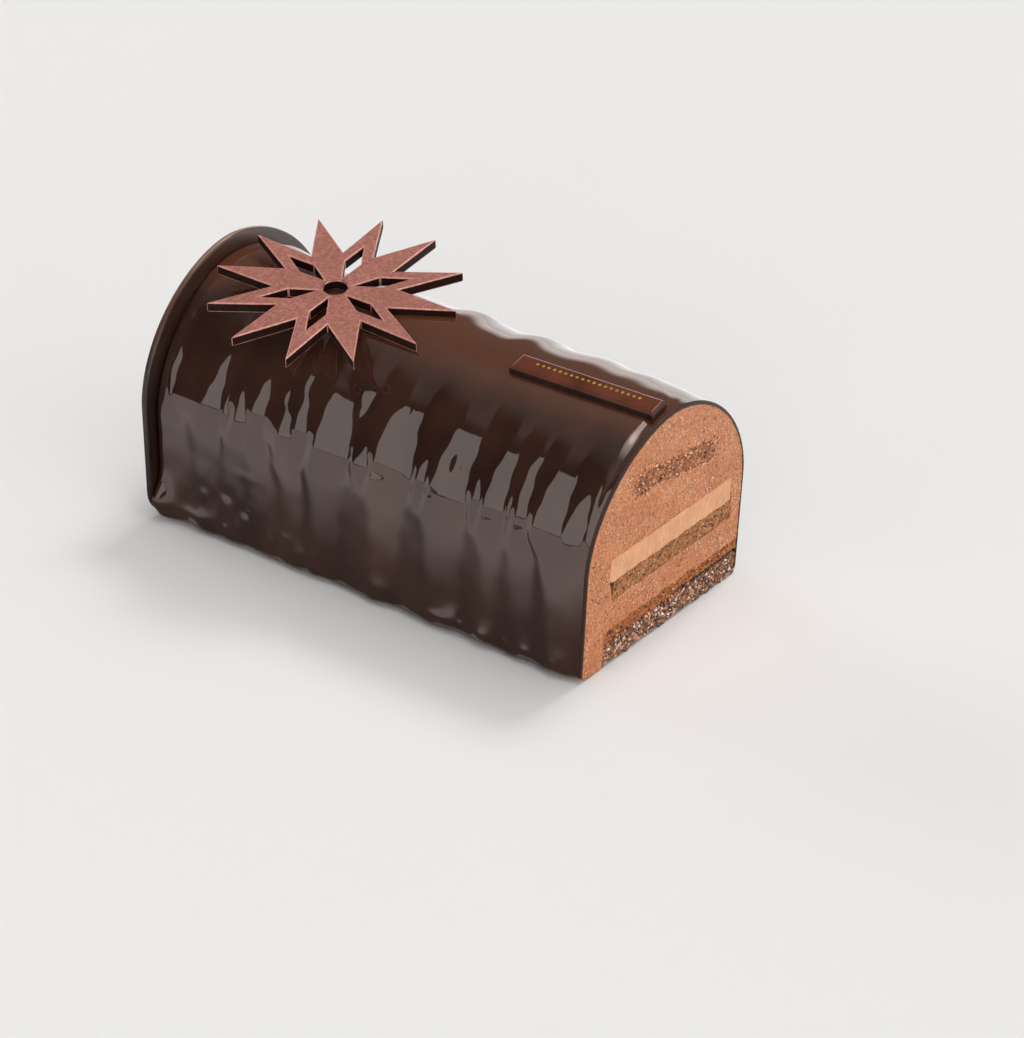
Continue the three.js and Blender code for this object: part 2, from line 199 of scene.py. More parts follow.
def arch_outline(half_width, crown, shoulder, count=600):
    """The dome from the near shoulder over the crown to the far shoulder."""
    angle = np.linspace(math.pi, 0, count)
    across = np.sign(np.cos(angle)) * np.abs(np.cos(angle)) ** (2 / ARCH_ROUNDING)
    rise = np.sin(angle).clip(0, 1) ** (2 / ARCH_ROUNDING)
    return np.column_stack([half_width * across, shoulder + (crown - shoulder) * rise])


def resample(line, count):
    """The same line with evenly spaced points."""
    along = np.concatenate([[0], np.cumsum(np.linalg.norm(np.diff(line, axis=0), axis=1))])
    where = np.linspace(0, along[-1], count)
    return np.column_stack([np.interp(where, along, line[:, i]) for i in range(line.shape[1])])


print("log length at the crown:", round(cut_x(0, MOUSSE_HEIGHT) - LOG_START, 1), "mm")

# %% [markdown]
# The glaze is the piece that the eye reads first, because it mirrors the room. It ran down the near
# wall in broad sheets with folds between them. Seen along the log the relief is a saw tooth: each
# sheet turns a little to the cut and mirrors the light panel, and each fold climbs back and mirrors
# the dark room. The sheets are listed by their edges at seven heights. The slope is added up along
# the log, and the folds are as steep as it takes to stay level.

# %% Sheets of the near wall
# The sheets were read off the photograph. Each has a left and a right edge along the log, in
# millimetres, at these heights. Equal edges mean that the sheet has ended.
SHEET_HEIGHTS = (28, 38, 47, 52, 57, 62, 67)
SHEETS = (
    ((-83, -71), (-83, -73), (-79.5, -78.5), (-80.5, -78.2), (-80.5, -77.8), (-80, -78.8), (-79.5, -79.5)),
    ((-68, -60), (-69, -58), (-66.5, -58.5), (-64.5, -59), (-63, -59.3), (-62, -59.7), (-61.3, -60)),
    ((-57, -57), (-57, -57), (-58, -55), (-57, -56), (-56.5, -56.5), (-56.5, -56.5), (-56.5, -56.5)),
    ((-56, -49), (-55, -48), (-52.5, -47.5), (-52.2, -49.5), (-51.3, -51.3), (-51.3, -51.3), (-51.3, -51.3)),
    ((-46, -36), (-47, -38), (-47.5, -42), (-46, -41.3), (-45, -41.2), (-43, -43), (-43, -43)),
    ((-32, -31), (-36, -32), (-34.5, -29.5), (-34, -30.5), (-35.5, -33.6), (-35, -35), (-35, -35)),
    ((-30, -24), (-31, -25), (-29.5, -24), (-29, -24.5), (-28.6, -25.8), (-30, -27.5), (-30.6, -27)),
    ((-21, -11), (-22, -9), (-20.5, -7), (-20, -7.5), (-19.8, -8.5), (-19.3, -10.2), (-19.8, -16)),
    ((-2, -2), (-2, -2), (-5, 1.5), (-1.8, -0.3), (-7, -7), (-9, -4.5), (-9.5, -3.5)),
    ((3, 13), (2.5, 15), (2.3, 17.2), (3, 16.8), (3.2, 16), (4.2, 15), (7.5, 14.7)),
    ((20, 20), (20, 20), (18.5, 22.5), (19.5, 22.5), (21.5, 21.5), (21.5, 21.5), (21.5, 21.5)),
    ((25, 36), (24, 38), (24.5, 38.3), (25.5, 37.3), (26.3, 37), (27.3, 37.6), (28.5, 37)),
    ((41, 41), (41, 41), (40, 43.5), (40.5, 43), (41, 41), (41, 41), (41, 41)),
    ((46, 51), (45, 52), (44.5, 52.3), (45, 52), (45.6, 51.8), (46.6, 51.5), (47.6, 51)),
    ((54, 54), (54, 54), (53, 54.6), (53, 54.5), (53.8, 53.8), (53.8, 53.8), (53.8, 53.8)),
    ((57, 64), (57, 65), (56.3, 61), (56.6, 60.5), (56.3, 60.2), (56.6, 59.8), (58.5, 60.2)),
    ((70, 75), (68, 74), (63.3, 73.5), (64, 73.6), (64.7, 73.3), (65.6, 73), (67, 72.2)),
    ((76, 84), (75, 84), (74, 81), (74.4, 81), (76.4, 80.6), (78.6, 78.6), (78.5, 78.5)),
)
SHEET_SLOPE = 0.115
SHEET_EDGE = 0.5
LOW_SHEET_EDGE = 2.6
FOLD_BALANCE = 9.0
LEVELLING = 15.0
WAVER = 0.25
RELIEF_X = np.arange(-85, 90, 0.25)
RELIEF_Z = np.arange(0, 84, 0.5)
print("sheets:", len(SHEETS), "with edges at", len(SHEET_HEIGHTS), "heights")

# %% The sheets as a height map


def stepped(where, knots, values):
    """Values between knots, level at every knot, as a liquid's edge wavers."""
    index = np.clip(np.searchsorted(knots, where) - 1, 0, len(knots) - 2)
    knots = np.asarray(knots, float)
    values = np.asarray(values, float)
    share = smooth_step(where, knots[index], knots[index + 1])
    return values[index] + (values[index + 1] - values[index]) * share


def blurred(rows, spread):
    """Each row smoothed by a bell whose spread is given in grid steps."""
    reach = int(3 * spread)
    bell = np.exp(-0.5 * (np.arange(-reach, reach + 1) / spread) ** 2)
    padded = np.pad(rows, ((0, 0), (reach, reach)), mode="edge")
    return np.array([np.convolve(row, bell / bell.sum(), mode="valid") for row in padded])


def sheet_relief():
    """The saw tooth of the near wall as a height map, by height and by place along the log."""
    cover = np.zeros((len(RELIEF_Z), len(RELIEF_X)))
    edge = SHEET_EDGE + ((LOW_SHEET_EDGE - SHEET_EDGE) * smooth_step(46 - RELIEF_Z, 0, 8))[:, None]
    for number, sheet in enumerate(SHEETS):
        edges = np.array(sheet, float)
        waver = WAVER * smooth_step(RELIEF_Z, 44, 52) * np.sin(RELIEF_Z * 0.9 + number * 2.1)
        left = (stepped(RELIEF_Z, SHEET_HEIGHTS, edges[:, 0]) + waver)[:, None]
        right = (stepped(RELIEF_Z, SHEET_HEIGHTS, edges[:, 1]) + waver)[:, None]
        rise = smooth_step(RELIEF_X, left - edge, left + edge)
        fall = 1 - smooth_step(RELIEF_X, right - edge, right + edge)
        cover += rise * fall * smooth_step(right - left, 0, 1)
    step = RELIEF_X[1] - RELIEF_X[0]
    covered = blurred(cover, FOLD_BALANCE / step)
    fold_slope = SHEET_SLOPE * covered / (1 - covered).clip(0.2, 1)
    slope = fold_slope * (1 - cover) - SHEET_SLOPE * cover
    height = np.cumsum(slope, axis=1) * step
    return height - blurred(height, LEVELLING / step)


def read_map(heights, x, z):
    """Reads a height map between its grid lines."""
    column = ((x - RELIEF_X[0]) / (RELIEF_X[1] - RELIEF_X[0])).clip(0, len(RELIEF_X) - 1.001)
    row = ((z - RELIEF_Z[0]) / (RELIEF_Z[1] - RELIEF_Z[0])).clip(0, len(RELIEF_Z) - 1.001)
    i, j = row.astype(int), column.astype(int)
    u, v = row - i, column - j
    lower = heights[i, j] * (1 - v) + heights[i, j + 1] * v
    upper = heights[i + 1, j] * (1 - v) + heights[i + 1, j + 1] * v
    return lower * (1 - u) + upper * u


SHEET_MAP = sheet_relief()
print("sheet relief:", round(SHEET_MAP.min(), 2), "to", round(SHEET_MAP.max(), 2), "mm")

# %% [markdown]
# The rest of the relief is a sum of soft swellings: mounds behind the crown, runs down the far wall, a
# bead along the foot and a thicker one at the plate's corner, where the glaze pooled. Slow waves lie
# over all of it. Towards the cut the glaze thins out, because the knife pressed it.

# %% Swellings of the glaze
GLAZE_DEPTH = 1.5
GLAZE_DEPTH_AT_CUT = 1.1
MORE_ON_CROWN = 0.45
MORE_ON_WALLS = 0.3
FOOT_BEAD_HEIGHT = 6.0
FOOT_BEAD_REACH = 1.0
FOOT_BEAD_SPREAD = 4.2
CORNER_BEAD_HEIGHT = 8.0
CORNER_BEAD_REACH = 3.6
CORNER_BEAD_SPREAD = 6.5
CORNER_BEAD_LENGTH = 6.5

# Mounds behind the crown and runs down the far wall: place along the log, height, width.
MOUNDS = ((-80, 2.2, 8), (-30, 0.8, 12), (-2, 2.0, 7), (24, 1.3, 5.5), (47, 1.0, 8), (64, 0.5, 6))
MOUND_CENTRE = 21.0
MOUND_SPREAD = 17.0
FAR_RUNS = (
    (-60, 0.8, 4.5),
    (-38, 0.9, 4.2),
    (-15, 1.1, 5),
    (9, 1.0, 4.6),
    (30, 0.8, 4),
    (47, 1.0, 4.4),
    (66, 0.6, 4),
)

# Swellings and dimples on the near wall: place along the log, place up the wall, both widths, height.
MARKS = (
    (32.1, 56, 1.9, 3.3, 0.36),
    (10.4, 65, 0.5, 1.1, 0.12),
    (-43.2, 50.4, 0.9, 0.9, 0.16),
    (-80, 68, 1.0, 1.1, -0.25),
    (-56.5, 39, 1.2, 7, 0.15),
    (-47, 28, 4.5, 1.8, 0.24),
    (-66, 16, 2.0, 1.5, 0.34),
    (-57, 8, 2.6, 1.7, -0.8),
    (-56, 18.5, 2.3, 1.9, -0.75),
    (-48.5, 14.5, 2.0, 1.7, -0.6),
    (-33, 11.5, 3.6, 1.5, 0.4),
    (37.5, 7, 1.6, 1.5, -0.7),
    (53, 5.5, 2.0, 1.4, -0.6),
    (-71, 6, 4.6, 2.1, 0.8),
    (29, 5, 5.5, 1.9, 0.8),
    (46, 4.8, 3.0, 1.8, 0.75),
    (62, 4.8, 3.0, 1.8, 0.75),
    (73, 4.5, 2.2, 1.6, 0.6),
)


def swellings(entries, x):
    """A row of swellings along the log."""
    return sum(height * bump(x - at, width) for at, height, width in entries)


def foot_bead(x, z):
    wave = 0.62 + 0.5 * np.sin(x * 0.31) * np.sin(x * 0.13 + 1)
    return FOOT_BEAD_REACH * bump(z - FOOT_BEAD_HEIGHT, FOOT_BEAD_SPREAD) * wave


def corner_bead(x, z):
    reach = CORNER_BEAD_REACH * bump(z - CORNER_BEAD_HEIGHT, CORNER_BEAD_SPREAD)
    return reach * bump(x - LOG_START, CORNER_BEAD_LENGTH)


print("swellings:", len(MOUNDS) + len(FAR_RUNS) + len(MARKS))

# %% Depth of the glaze


def near_wall_relief(x, z, by_plate):
    """The sheets, softer low down by the plate, with the marks and the corner's bead."""
    strength = 1.4 - 0.4 * smooth_step(z, 26, 50) - 0.85 * by_plate * smooth_step(45 - z, 0, 14)
    sheets = read_map(SHEET_MAP, x, z) * smooth_step(MOUSSE_HEIGHT - z, 2, 10)
    marks = sum(h * bump(x - at, w) * bump(z - up, t) for at, up, w, t, h in MARKS)
    return strength * sheets + marks + corner_bead(x, z)


def undulation(x, z, s, by_plate):
    """Slow waves all over, finer ones low down and at the mirrored horizon, and a bubbly patch."""
    low = smooth_step(40 - z, 0, 14)
    at_horizon = bump(z - 47, 9)
    bubbly = bump(x + 54, 14) * bump(z - 14, 8)
    return (
        0.05 * waves(x, s, 26, 3)
        + 0.015 * at_horizon * waves(0.6 * x, s, 9, 7)
        + low * (0.03 + 0.03 * by_plate) * waves(x, s, 15, 5)
        + 0.09 * bubbly * waves(x, s, 5.5, 9)
    )


def glaze_depth(x, y, z, s):
    """How thick the glaze lies at x along the log, for the mousse's point y, z at arc length s."""
    near = smooth_step(-y, -4, 10)
    on_wall = smooth_step(MOUSSE_HEIGHT - z, 2, 22)
    by_plate = smooth_step(-20 - x, 0, 30)
    full = (
        GLAZE_DEPTH
        + MORE_ON_CROWN * (1 - on_wall)
        + near * near_wall_relief(x, z, by_plate)
        + on_wall * (1 - near) * swellings(FAR_RUNS, x)
        + on_wall * MORE_ON_WALLS
        + swellings(MOUNDS, x) * bump(y - MOUND_CENTRE, MOUND_SPREAD)
        + foot_bead(x, z)
        + undulation(x, z, s, by_plate)
    )
    thinning = 13 - 10 * smooth_step(z, 40, 50) * smooth_step(-y, -14, -2)
    eased = smooth_step(CUT_AT - x, 0, thinning)
    return GLAZE_DEPTH_AT_CUT + (full - GLAZE_DEPTH_AT_CUT) * eased


crown = [np.array([value]) for value in (0.0, 0.0, MOUSSE_HEIGHT, 90.0)]
print("glaze on the crown:", round(float(glaze_depth(*crown)[0]), 2), "mm")

# %% [markdown]
# The outer skin is a fine grid: up the near wall, over the dome and down the far wall. The rows are
# closer at the foot, and the stations at the plate and at the cut, where the poured edge is round.
# The inner skin lies on the mousse, where nobody sees it, so it has a quarter of the lines each way.
# Strips join the two skins along the foot and at both ends.

# %% Rows and stations of the glaze
GLAZE_FOOT = 0.75
GLAZE_FOOT_WAVE = 0.35
LIP_RADIUS = 1.5
PLATE_EDGE_RADIUS = 2.4
CUT_EDGE_RADIUS = 0.8
SKIN_CLEARANCE = 0.02
DOME_ROWS = 121
WALL_ROWS = 36
STATION_PITCH = 0.5
EDGE_STATIONS = 6
INNER_STRIDE = 4


def glaze_rows():
    """Points of the mousse's arch from near foot to far foot, with outward directions."""
    dome = resample(arch_outline(WALL_Y, MOUSSE_HEIGHT, SHOULDER_HEIGHT), DOME_ROWS)
    lip = LIP_RADIUS * (1 - np.cos(np.linspace(0, math.pi / 2, 6)))
    wall = np.concatenate([lip, np.linspace(LIP_RADIUS, SHOULDER_HEIGHT, WALL_ROWS)[1:-1]])
    near = np.column_stack([np.full(len(wall), -WALL_Y), wall])
    far = np.column_stack([np.full(len(wall), WALL_Y), wall])[::-1]
    rows = np.vstack([near, dome, far])
    tangent = np.gradient(rows, axis=0)
    tangent /= np.linalg.norm(tangent, axis=1, keepdims=True)
    for _ in range(6):
        tangent[1:-1] = (tangent[:-2] + 2 * tangent[1:-1] + tangent[2:]) / 4
        tangent /= np.linalg.norm(tangent, axis=1, keepdims=True)
    return rows, np.column_stack([-tangent[:, 1], tangent[:, 0]])


def glaze_stations():
    """Shares of the way from the plate to the cut, closer together at both ends."""
    length = CUT_AT - LOG_START
    quarter = 1 - np.cos(np.linspace(0, math.pi / 2, EDGE_STATIONS + 1))
    count = INNER_STRIDE * round(length / STATION_PITCH / INNER_STRIDE) - 2 * EDGE_STATIONS + 1
    middle = np.linspace(PLATE_EDGE_RADIUS, length - CUT_EDGE_RADIUS, count)
    stations = [PLATE_EDGE_RADIUS * quarter, middle[1:-1], length - CUT_EDGE_RADIUS * quarter[::-1]]
    return np.concatenate(stations) / length


# %% Glaze skin


def rounded_edge(distance, radius):
    """The height of a quarter round at a distance from its edge, as a share of the full height."""
    t = np.clip(1 - distance / radius, 0, 1)
    return np.sqrt(1 - t * t)


def glaze_grids():
    """The outer skin and the inner skin as grids of points, station by station."""
    rows, outward = glaze_rows()
    arc = np.concatenate([[0], np.cumsum(np.linalg.norm(np.diff(rows, axis=0), axis=1))])
    along = glaze_stations()[:, None]
    y = np.broadcast_to(rows[:, 0], (len(along), len(rows)))
    z = np.broadcast_to(rows[:, 1], y.shape)
    s = np.broadcast_to(arc, y.shape)
    x = LOG_START + (cut_x(y, z) - LOG_START) * along
    to_cut = cut_x(y, z) - x
    side = np.sign(y)
    wave = np.sin(x * 0.21 + side) * 0.6 + np.sin(x * 0.47 + 2 * side) * 0.4
    foot = GLAZE_FOOT + GLAZE_FOOT_WAVE * wave + 1.2 * bump(to_cut, 3)
    z = np.where(z < SHOULDER_HEIGHT, foot + z * (SHOULDER_HEIGHT - foot) / SHOULDER_HEIGHT, z)
    depth = glaze_depth(x, y, z, s)
    lip = rounded_edge(np.where(z < SHOULDER_HEIGHT, z - foot, LIP_RADIUS), LIP_RADIUS)
    on_corner = smooth_step(-y, 0, 30) * bump(z - CORNER_BEAD_HEIGHT, CORNER_BEAD_SPREAD)
    hugging = np.maximum(smooth_step(z, 62, 76), on_corner)
    at_plate = rounded_edge(x - LOG_START, PLATE_EDGE_RADIUS)
    at_plate = at_plate + (1 - at_plate) * (0.3 + 0.7 * hugging)
    outer_depth = (depth - CUT_EDGE_RADIUS * (1 - rounded_edge(to_cut, CUT_EDGE_RADIUS))) * lip * at_plate
    grids = []
    for reach, stride in ((outer_depth, 1), (SKIN_CLEARANCE, INNER_STRIDE)):
        reach_y = y + outward[:, 0] * reach
        reach_z = z + outward[:, 1] * reach
        reach_x = LOG_START + (cut_x(reach_y, reach_z) - LOG_START) * along
        grids.append(np.stack([reach_x, reach_y, reach_z], axis=2)[::stride, ::stride])
    return grids


def skin_faces(outer_shape, inner_shape):
    """Faces of both skins and of the strips that join them. The strip at the cut comes last."""
    outer = np.arange(outer_shape[0] * outer_shape[1]).reshape(outer_shape)
    inner = outer.size + np.arange(inner_shape[0] * inner_shape[1]).reshape(inner_shape)
    faces = []
    for grid, turn in ((outer, 1), (inner, -1)):
        quads = np.stack([grid[:-1, :-1], grid[1:, :-1], grid[1:, 1:], grid[:-1, 1:]], axis=2)
        faces += quads.reshape(-1, 4)[:, ::turn].tolist()
    for fine, coarse, turn in (
        (outer[:, 0], inner[:, 0], -1),
        (outer[:, -1], inner[:, -1], 1),
        (outer[0], inner[0], 1),
        (outer[-1], inner[-1], -1),
    ):
        for k in range(len(coarse) - 1):
            strip = [*fine[k * INNER_STRIDE : (k + 1) * INNER_STRIDE + 1], coarse[k + 1], coarse[k]]
            faces.append([int(i) for i in strip[::turn]])
    return faces


# %% [markdown]
# Every finish starts with a tone, clouded by a noise whose grains have a real size. Other patterns
# are laid over it, and the same patterns raise a fine relief. Patterns read object coordinates, and
# every piece sits at the origin, so a grain is as large on one piece as on another.

# %% Helpers for materials


def new_material(name, roughness, ior=1.5):
    """An empty material: its tree, its shader and its object coordinates."""
    material = bpy.data.materials.new(name)
    material.use_nodes = True
    tree = material.node_tree
    shader = tree.nodes["Principled BSDF"]
    shader.inputs["Roughness"].default_value = roughness
    shader.inputs["IOR"].default_value = ior
    place = add_node(tree, "ShaderNodeTexCoord").outputs["Object"]
    return material, tree, shader, place


def grain(tree, place, size, detail=3.0, rough=0.5, stretch=(1.0, 1.0, 1.0)):
    """A noise with grains about size millimetres wide, longer along an axis where stretch is small."""
    scaled = add_node(tree, "ShaderNodeVectorMath", {"operation": "MULTIPLY", 1: stretch}, {0: place})
    settings = {"Scale": 1000 / size, "Detail": detail, "Roughness": rough}
    return add_node(tree, "ShaderNodeTexNoise", settings, {"Vector": scaled})


def laid_over(tree, below, pattern, low, high, amount, colour):
    """Lays a colour over another as a pattern rises from low to high, up to an amount."""
    settings = {"interpolation_type": "SMOOTHSTEP", "From Min": low, "From Max": high, "To Max": amount}
    where = add_node(tree, "ShaderNodeMapRange", settings, {"Value": pattern})
    return add_node(tree, "ShaderNodeMix", {"data_type": "RGBA", 7: linear(colour)}, {0: where, 6: below})


def dress(tree, shader, tone, height=0.0, parts=()):
    """Colours a shader, and bumps it by a weighted sum of patterns, height millimetres high."""
    tree.links.new(output_of(tone), shader.inputs["Base Color"])
    if not parts:
        return
    total = None
    for pattern, weight in parts:
        links = {0: pattern} if total is None else {0: pattern, 2: total}
        total = add_node(tree, "ShaderNodeMath", {"operation": "MULTIPLY_ADD", 1: weight, 2: 0.0}, links)
    normal = add_node(tree, "ShaderNodeBump", {"Distance": height * MM}, {"Height": total})
    tree.links.new(normal.outputs["Normal"], shader.inputs["Normal"])


def two_tone(name, stops, size, roughness, ior=1.5, relief=0.0, relief_size=1.0):
    """A plain finish: two tones clouded at one size, with or without a fine relief."""
    material, tree, shader, place = new_material(name, roughness, ior)
    tone = add_node(tree, "ShaderNodeValToRGB", {"stops": stops}, {"Fac": grain(tree, place, size)})
    parts = [(grain(tree, place, relief_size), 1.0)] if relief else ()
    dress(tree, shader, tone, relief, parts)
    return material


# %% [markdown]
# A mirror glaze is cocoa, sugar and gelatine poured at body heat. It sets clear and wet, so nearly
# all that shows is reflection over a very dark brown. Its refractive index is set above syrup's,
# because the photograph's glaze mirrors more than clear syrup would. Cocoa warms what it mirrors.
# Where the knife passed, the glaze is matt.

# %% Mirror glaze and its section


def mirror_glaze():
    """Wet and dark, with the slow streaks of a liquid that ran. The crown is painted paler: painted light.
    """
    material, tree, shader, place = new_material("mirror_glaze", 0.045, 1.88)
    shader.inputs["Specular Tint"].default_value = (1.0, 0.84, 0.80, 1.0)
    flow = grain(tree, place, 14, 2, stretch=(1, 1, 0.3))
    stops = [(0.35, "#2b1812"), (0.65, "#3a231a")]
    brown = add_node(tree, "ShaderNodeValToRGB", {"stops": stops}, {"Fac": flow})
    height = add_node(tree, "ShaderNodeSeparateXYZ", links={"Vector": place}).outputs["Z"]
    # Above 72 mm the brown is painted paler: painted light from above on the crown.
    brown = laid_over(tree, brown, height, 0.072, 0.081, 0.75, "#653a26")
    dress(tree, shader, brown, 0.012, [(grain(tree, place, 2.4, 2), 1.0)])
    return material


def cut_glaze():
    """The glaze's section: set jelly, dull under the knife."""
    material, tree, shader, place = new_material("cut_glaze", 0.5, 1.36)
    drag = grain(tree, place, 0.8, 2, stretch=(1, 0.3, 1))
    stops = [(0.3, "#24130d"), (0.7, "#38200f")]
    brown = add_node(tree, "ShaderNodeValToRGB", {"stops": stops}, {"Fac": drag})
    dress(tree, shader, brown, 0.1, [(drag, 1.0)])
    return material


outer_skin, inner_skin = glaze_grids()
glaze = new_piece(
    "poured_glaze",
    np.vstack([outer_skin.reshape(-1, 3), inner_skin.reshape(-1, 3)]),
    skin_faces(outer_skin.shape[:2], inner_skin.shape[:2]),
    mirror_glaze(),
    sharp_above=50,
)
glaze.data.materials.append(cut_glaze())
row_count = outer_skin.shape[1] - 1
last_station = outer_skin.shape[0] - 1
rounded = range((last_station - EDGE_STATIONS) * row_count, last_station * row_count)
end_strip = range(len(glaze.data.polygons) - inner_skin.shape[1] + 1, len(glaze.data.polygons))
for index in (*rounded, *end_strip):
    glaze.data.polygons[index].material_index = 1
print("glaze:", len(glaze.data.polygons), "faces, reach", round(outer_skin[:, :, 2].max(), 2), "mm")

# %% [markdown]
# The cut face shows how the log was built. Each layer is a long block of one outline, and the
# mousse has pockets of the same outlines, so that no gap shows. An outline is smooth where the layer
# was spread and ragged where it was baked. The cut face itself is a fine triangle net, so it can take
# relief, while the hidden end needs only its outline.

# %% Outlines of the layers
OUTLINE_PITCH = 0.8


def strip_line(y_from, y_to, z, ragged, seed):
    """One long edge of a layer, from y_from to y_to, as ragged as it was baked or spread."""
    count = max(2, round(abs(y_to - y_from) / OUTLINE_PITCH))
    y = np.linspace(y_from, y_to, count + 1)
    rng = np.random.default_rng(seed)
    rough = rng.normal(0, 1, len(y))
    soft = np.convolve(np.pad(rough, 2, mode="edge"), [0.1, 0.25, 0.3, 0.25, 0.1], mode="valid")
    return np.column_stack([y, z + ragged * (0.6 * soft + 0.25 * rough)])


def tilted(line, middle, tilt, bow, half):
    """A line of the section after a layer's bow and tilt about its middle."""
    dy = line[:, 0] - middle[0]
    dz = line[:, 1] - middle[1] + bow * (1 - (dy / half) ** 2)
    cosine, sine = math.cos(math.radians(tilt)), math.sin(math.radians(tilt))
    return np.column_stack([middle[0] + dy * cosine - dz * sine, middle[1] + dy * sine + dz * cosine])


# Where the layers lie in the section, in millimetres across and up.
BASE_LEFT = -30.0
BASE_RIGHT = 39.7
CRUNCH_TOP = 8.9
FILM_LEFT = 4.0
FILM_TOP = 9.75
BOTTOM_BISCUIT_TOP = 13.4
MIDDLE_BISCUIT = (-26.5, 35.0, 23.4, 30.5)
CREAM = (-28.5, 34.0, 38.7)
TOP_BISCUIT = (-19.0, 23.5, 53.3, 60.3)
TOP_BISCUIT_TILT = -8.0
TOP_BISCUIT_BOW = 1.0

crunch_top = strip_line(BASE_LEFT, BASE_RIGHT, CRUNCH_TOP, 0.10, 11)
film_share = smooth_step(crunch_top[:, 0], FILM_LEFT - 2, FILM_LEFT + 3)
film_top = np.column_stack([crunch_top[:, 0], crunch_top[:, 1] + (FILM_TOP - CRUNCH_TOP) * film_share])
biscuit_top = strip_line(BASE_LEFT, BASE_RIGHT, BOTTOM_BISCUIT_TOP, 0.35, 12)
biscuit_top[:, 1] -= 1.6 * bump(biscuit_top[:, 0] - BASE_LEFT, 2.5)
base_foot = strip_line(BASE_LEFT, BASE_RIGHT, 0.7, 0.9, 13)
base_foot[:, 1] = base_foot[:, 1].clip(0.05, 1.8)

low_middle = strip_line(MIDDLE_BISCUIT[0], MIDDLE_BISCUIT[1], MIDDLE_BISCUIT[2], 0.40, 14)
seam = strip_line(MIDDLE_BISCUIT[0], CREAM[1], MIDDLE_BISCUIT[3], 0.30, 15)
cream_top = strip_line(CREAM[0], CREAM[1], CREAM[2], 0.18, 16)
cream_left = np.array([[CREAM[0], MIDDLE_BISCUIT[3] + 0.5], [CREAM[0] - 0.3, 34.5]])
biscuit_right = np.array([[MIDDLE_BISCUIT[1] + 0.3, 27.0], [MIDDLE_BISCUIT[1], MIDDLE_BISCUIT[3] - 0.3]])

middle_of_top = ((TOP_BISCUIT[0] + TOP_BISCUIT[1]) / 2, (TOP_BISCUIT[2] + TOP_BISCUIT[3]) / 2)
half_of_top = (TOP_BISCUIT[1] - TOP_BISCUIT[0]) / 2
top_low = strip_line(TOP_BISCUIT[0], TOP_BISCUIT[1], TOP_BISCUIT[2], 0.7, 17)
top_high = strip_line(TOP_BISCUIT[1], TOP_BISCUIT[0], TOP_BISCUIT[3], 0.7, 18)
taper = smooth_step(half_of_top - np.abs(top_low[:, 0] - middle_of_top[0]), 0, 3)
top_low[:, 1] += 1.8 * (1 - taper)
top_high[:, 1] -= 1.8 * (1 - taper[::-1])
top_ring = np.vstack([top_low, top_high])
top_loop = tilted(top_ring, middle_of_top, TOP_BISCUIT_TILT, TOP_BISCUIT_BOW, half_of_top)

LOOPS = {
    "crunch": np.vstack([base_foot, crunch_top[::-1]]),
    "film": np.vstack([crunch_top[film_share > 0], film_top[film_share > 0][::-1]]),
    "bottom_biscuit": np.vstack([film_top, biscuit_top[::-1]]),
    "middle_biscuit": np.vstack([low_middle, biscuit_right, seam[::-1]]),
    "cream": np.vstack([seam, cream_top[::-1], cream_left[::-1]]),
    "top_biscuit": top_loop,
}
print("outline points:", {name: len(loop) for name, loop in LOOPS.items()})

# %% Triangle nets


def inside(points, loop):
    """Which points of the section lie inside a closed loop."""
    y, z = points[:, 0][:, None], points[:, 1][:, None]
    y0, z0 = loop[:, 0][None], loop[:, 1][None]
    y1, z1 = np.roll(loop[:, 0], -1)[None], np.roll(loop[:, 1], -1)[None]
    crosses = (z0 > z) != (z1 > z)
    with np.errstate(divide="ignore", invalid="ignore"):
        at = y0 + (z - z0) * (y1 - y0) / (z1 - z0)
    return (np.sum(crosses & (y < at), axis=1) % 2) == 1


def near_loops(points, loops, clearance):
    """Which points lie closer than clearance to a corner or edge of any loop."""
    close = np.zeros(len(points), bool)
    for loop in loops:
        dense = resample(np.vstack([loop, loop[:1]]), max(8, len(loop) * 3))
        for start in range(0, len(dense), 200):
            part = dense[start : start + 200]
            gap = np.linalg.norm(points[:, None] - part[None], axis=2).min(axis=1)
            close |= gap < clearance
    return close


def triangulate(loops, fill):
    """Triangles between closed loops: inside the first and outside the others. fill adds points."""
    coords = np.vstack([*loops, fill]) if len(fill) else np.vstack(loops)
    edges = []
    start = 0
    for loop in loops:
        ring = list(range(start, start + len(loop)))
        edges += list(zip(ring, ring[1:] + ring[:1]))
        start += len(loop)
    result = delaunay_2d_cdt([Vector(p) for p in coords], edges, [], 0, 1e-7)
    points, triangles, origins = np.array(result[0]), np.array(result[2]), result[3]
    centres = points[triangles].mean(axis=1)
    keep = inside(centres, loops[0])
    for hole in loops[1:]:
        keep &= ~inside(centres, hole)
    triangles = triangles[keep]
    a, b, c = points[triangles[:, 0]], points[triangles[:, 1]], points[triangles[:, 2]]
    turn = (b[:, 0] - a[:, 0]) * (c[:, 1] - a[:, 1]) - (b[:, 1] - a[:, 1]) * (c[:, 0] - a[:, 0])
    triangles[turn < 0] = triangles[turn < 0][:, ::-1]
    place_of = {}
    for index, sources in enumerate(origins):
        for source in sources:
            place_of[source] = index
    rings = []
    start = 0
    for loop in loops:
        rings.append([place_of[k] for k in range(start, start + len(loop))])
        start += len(loop)
    return points, triangles, rings


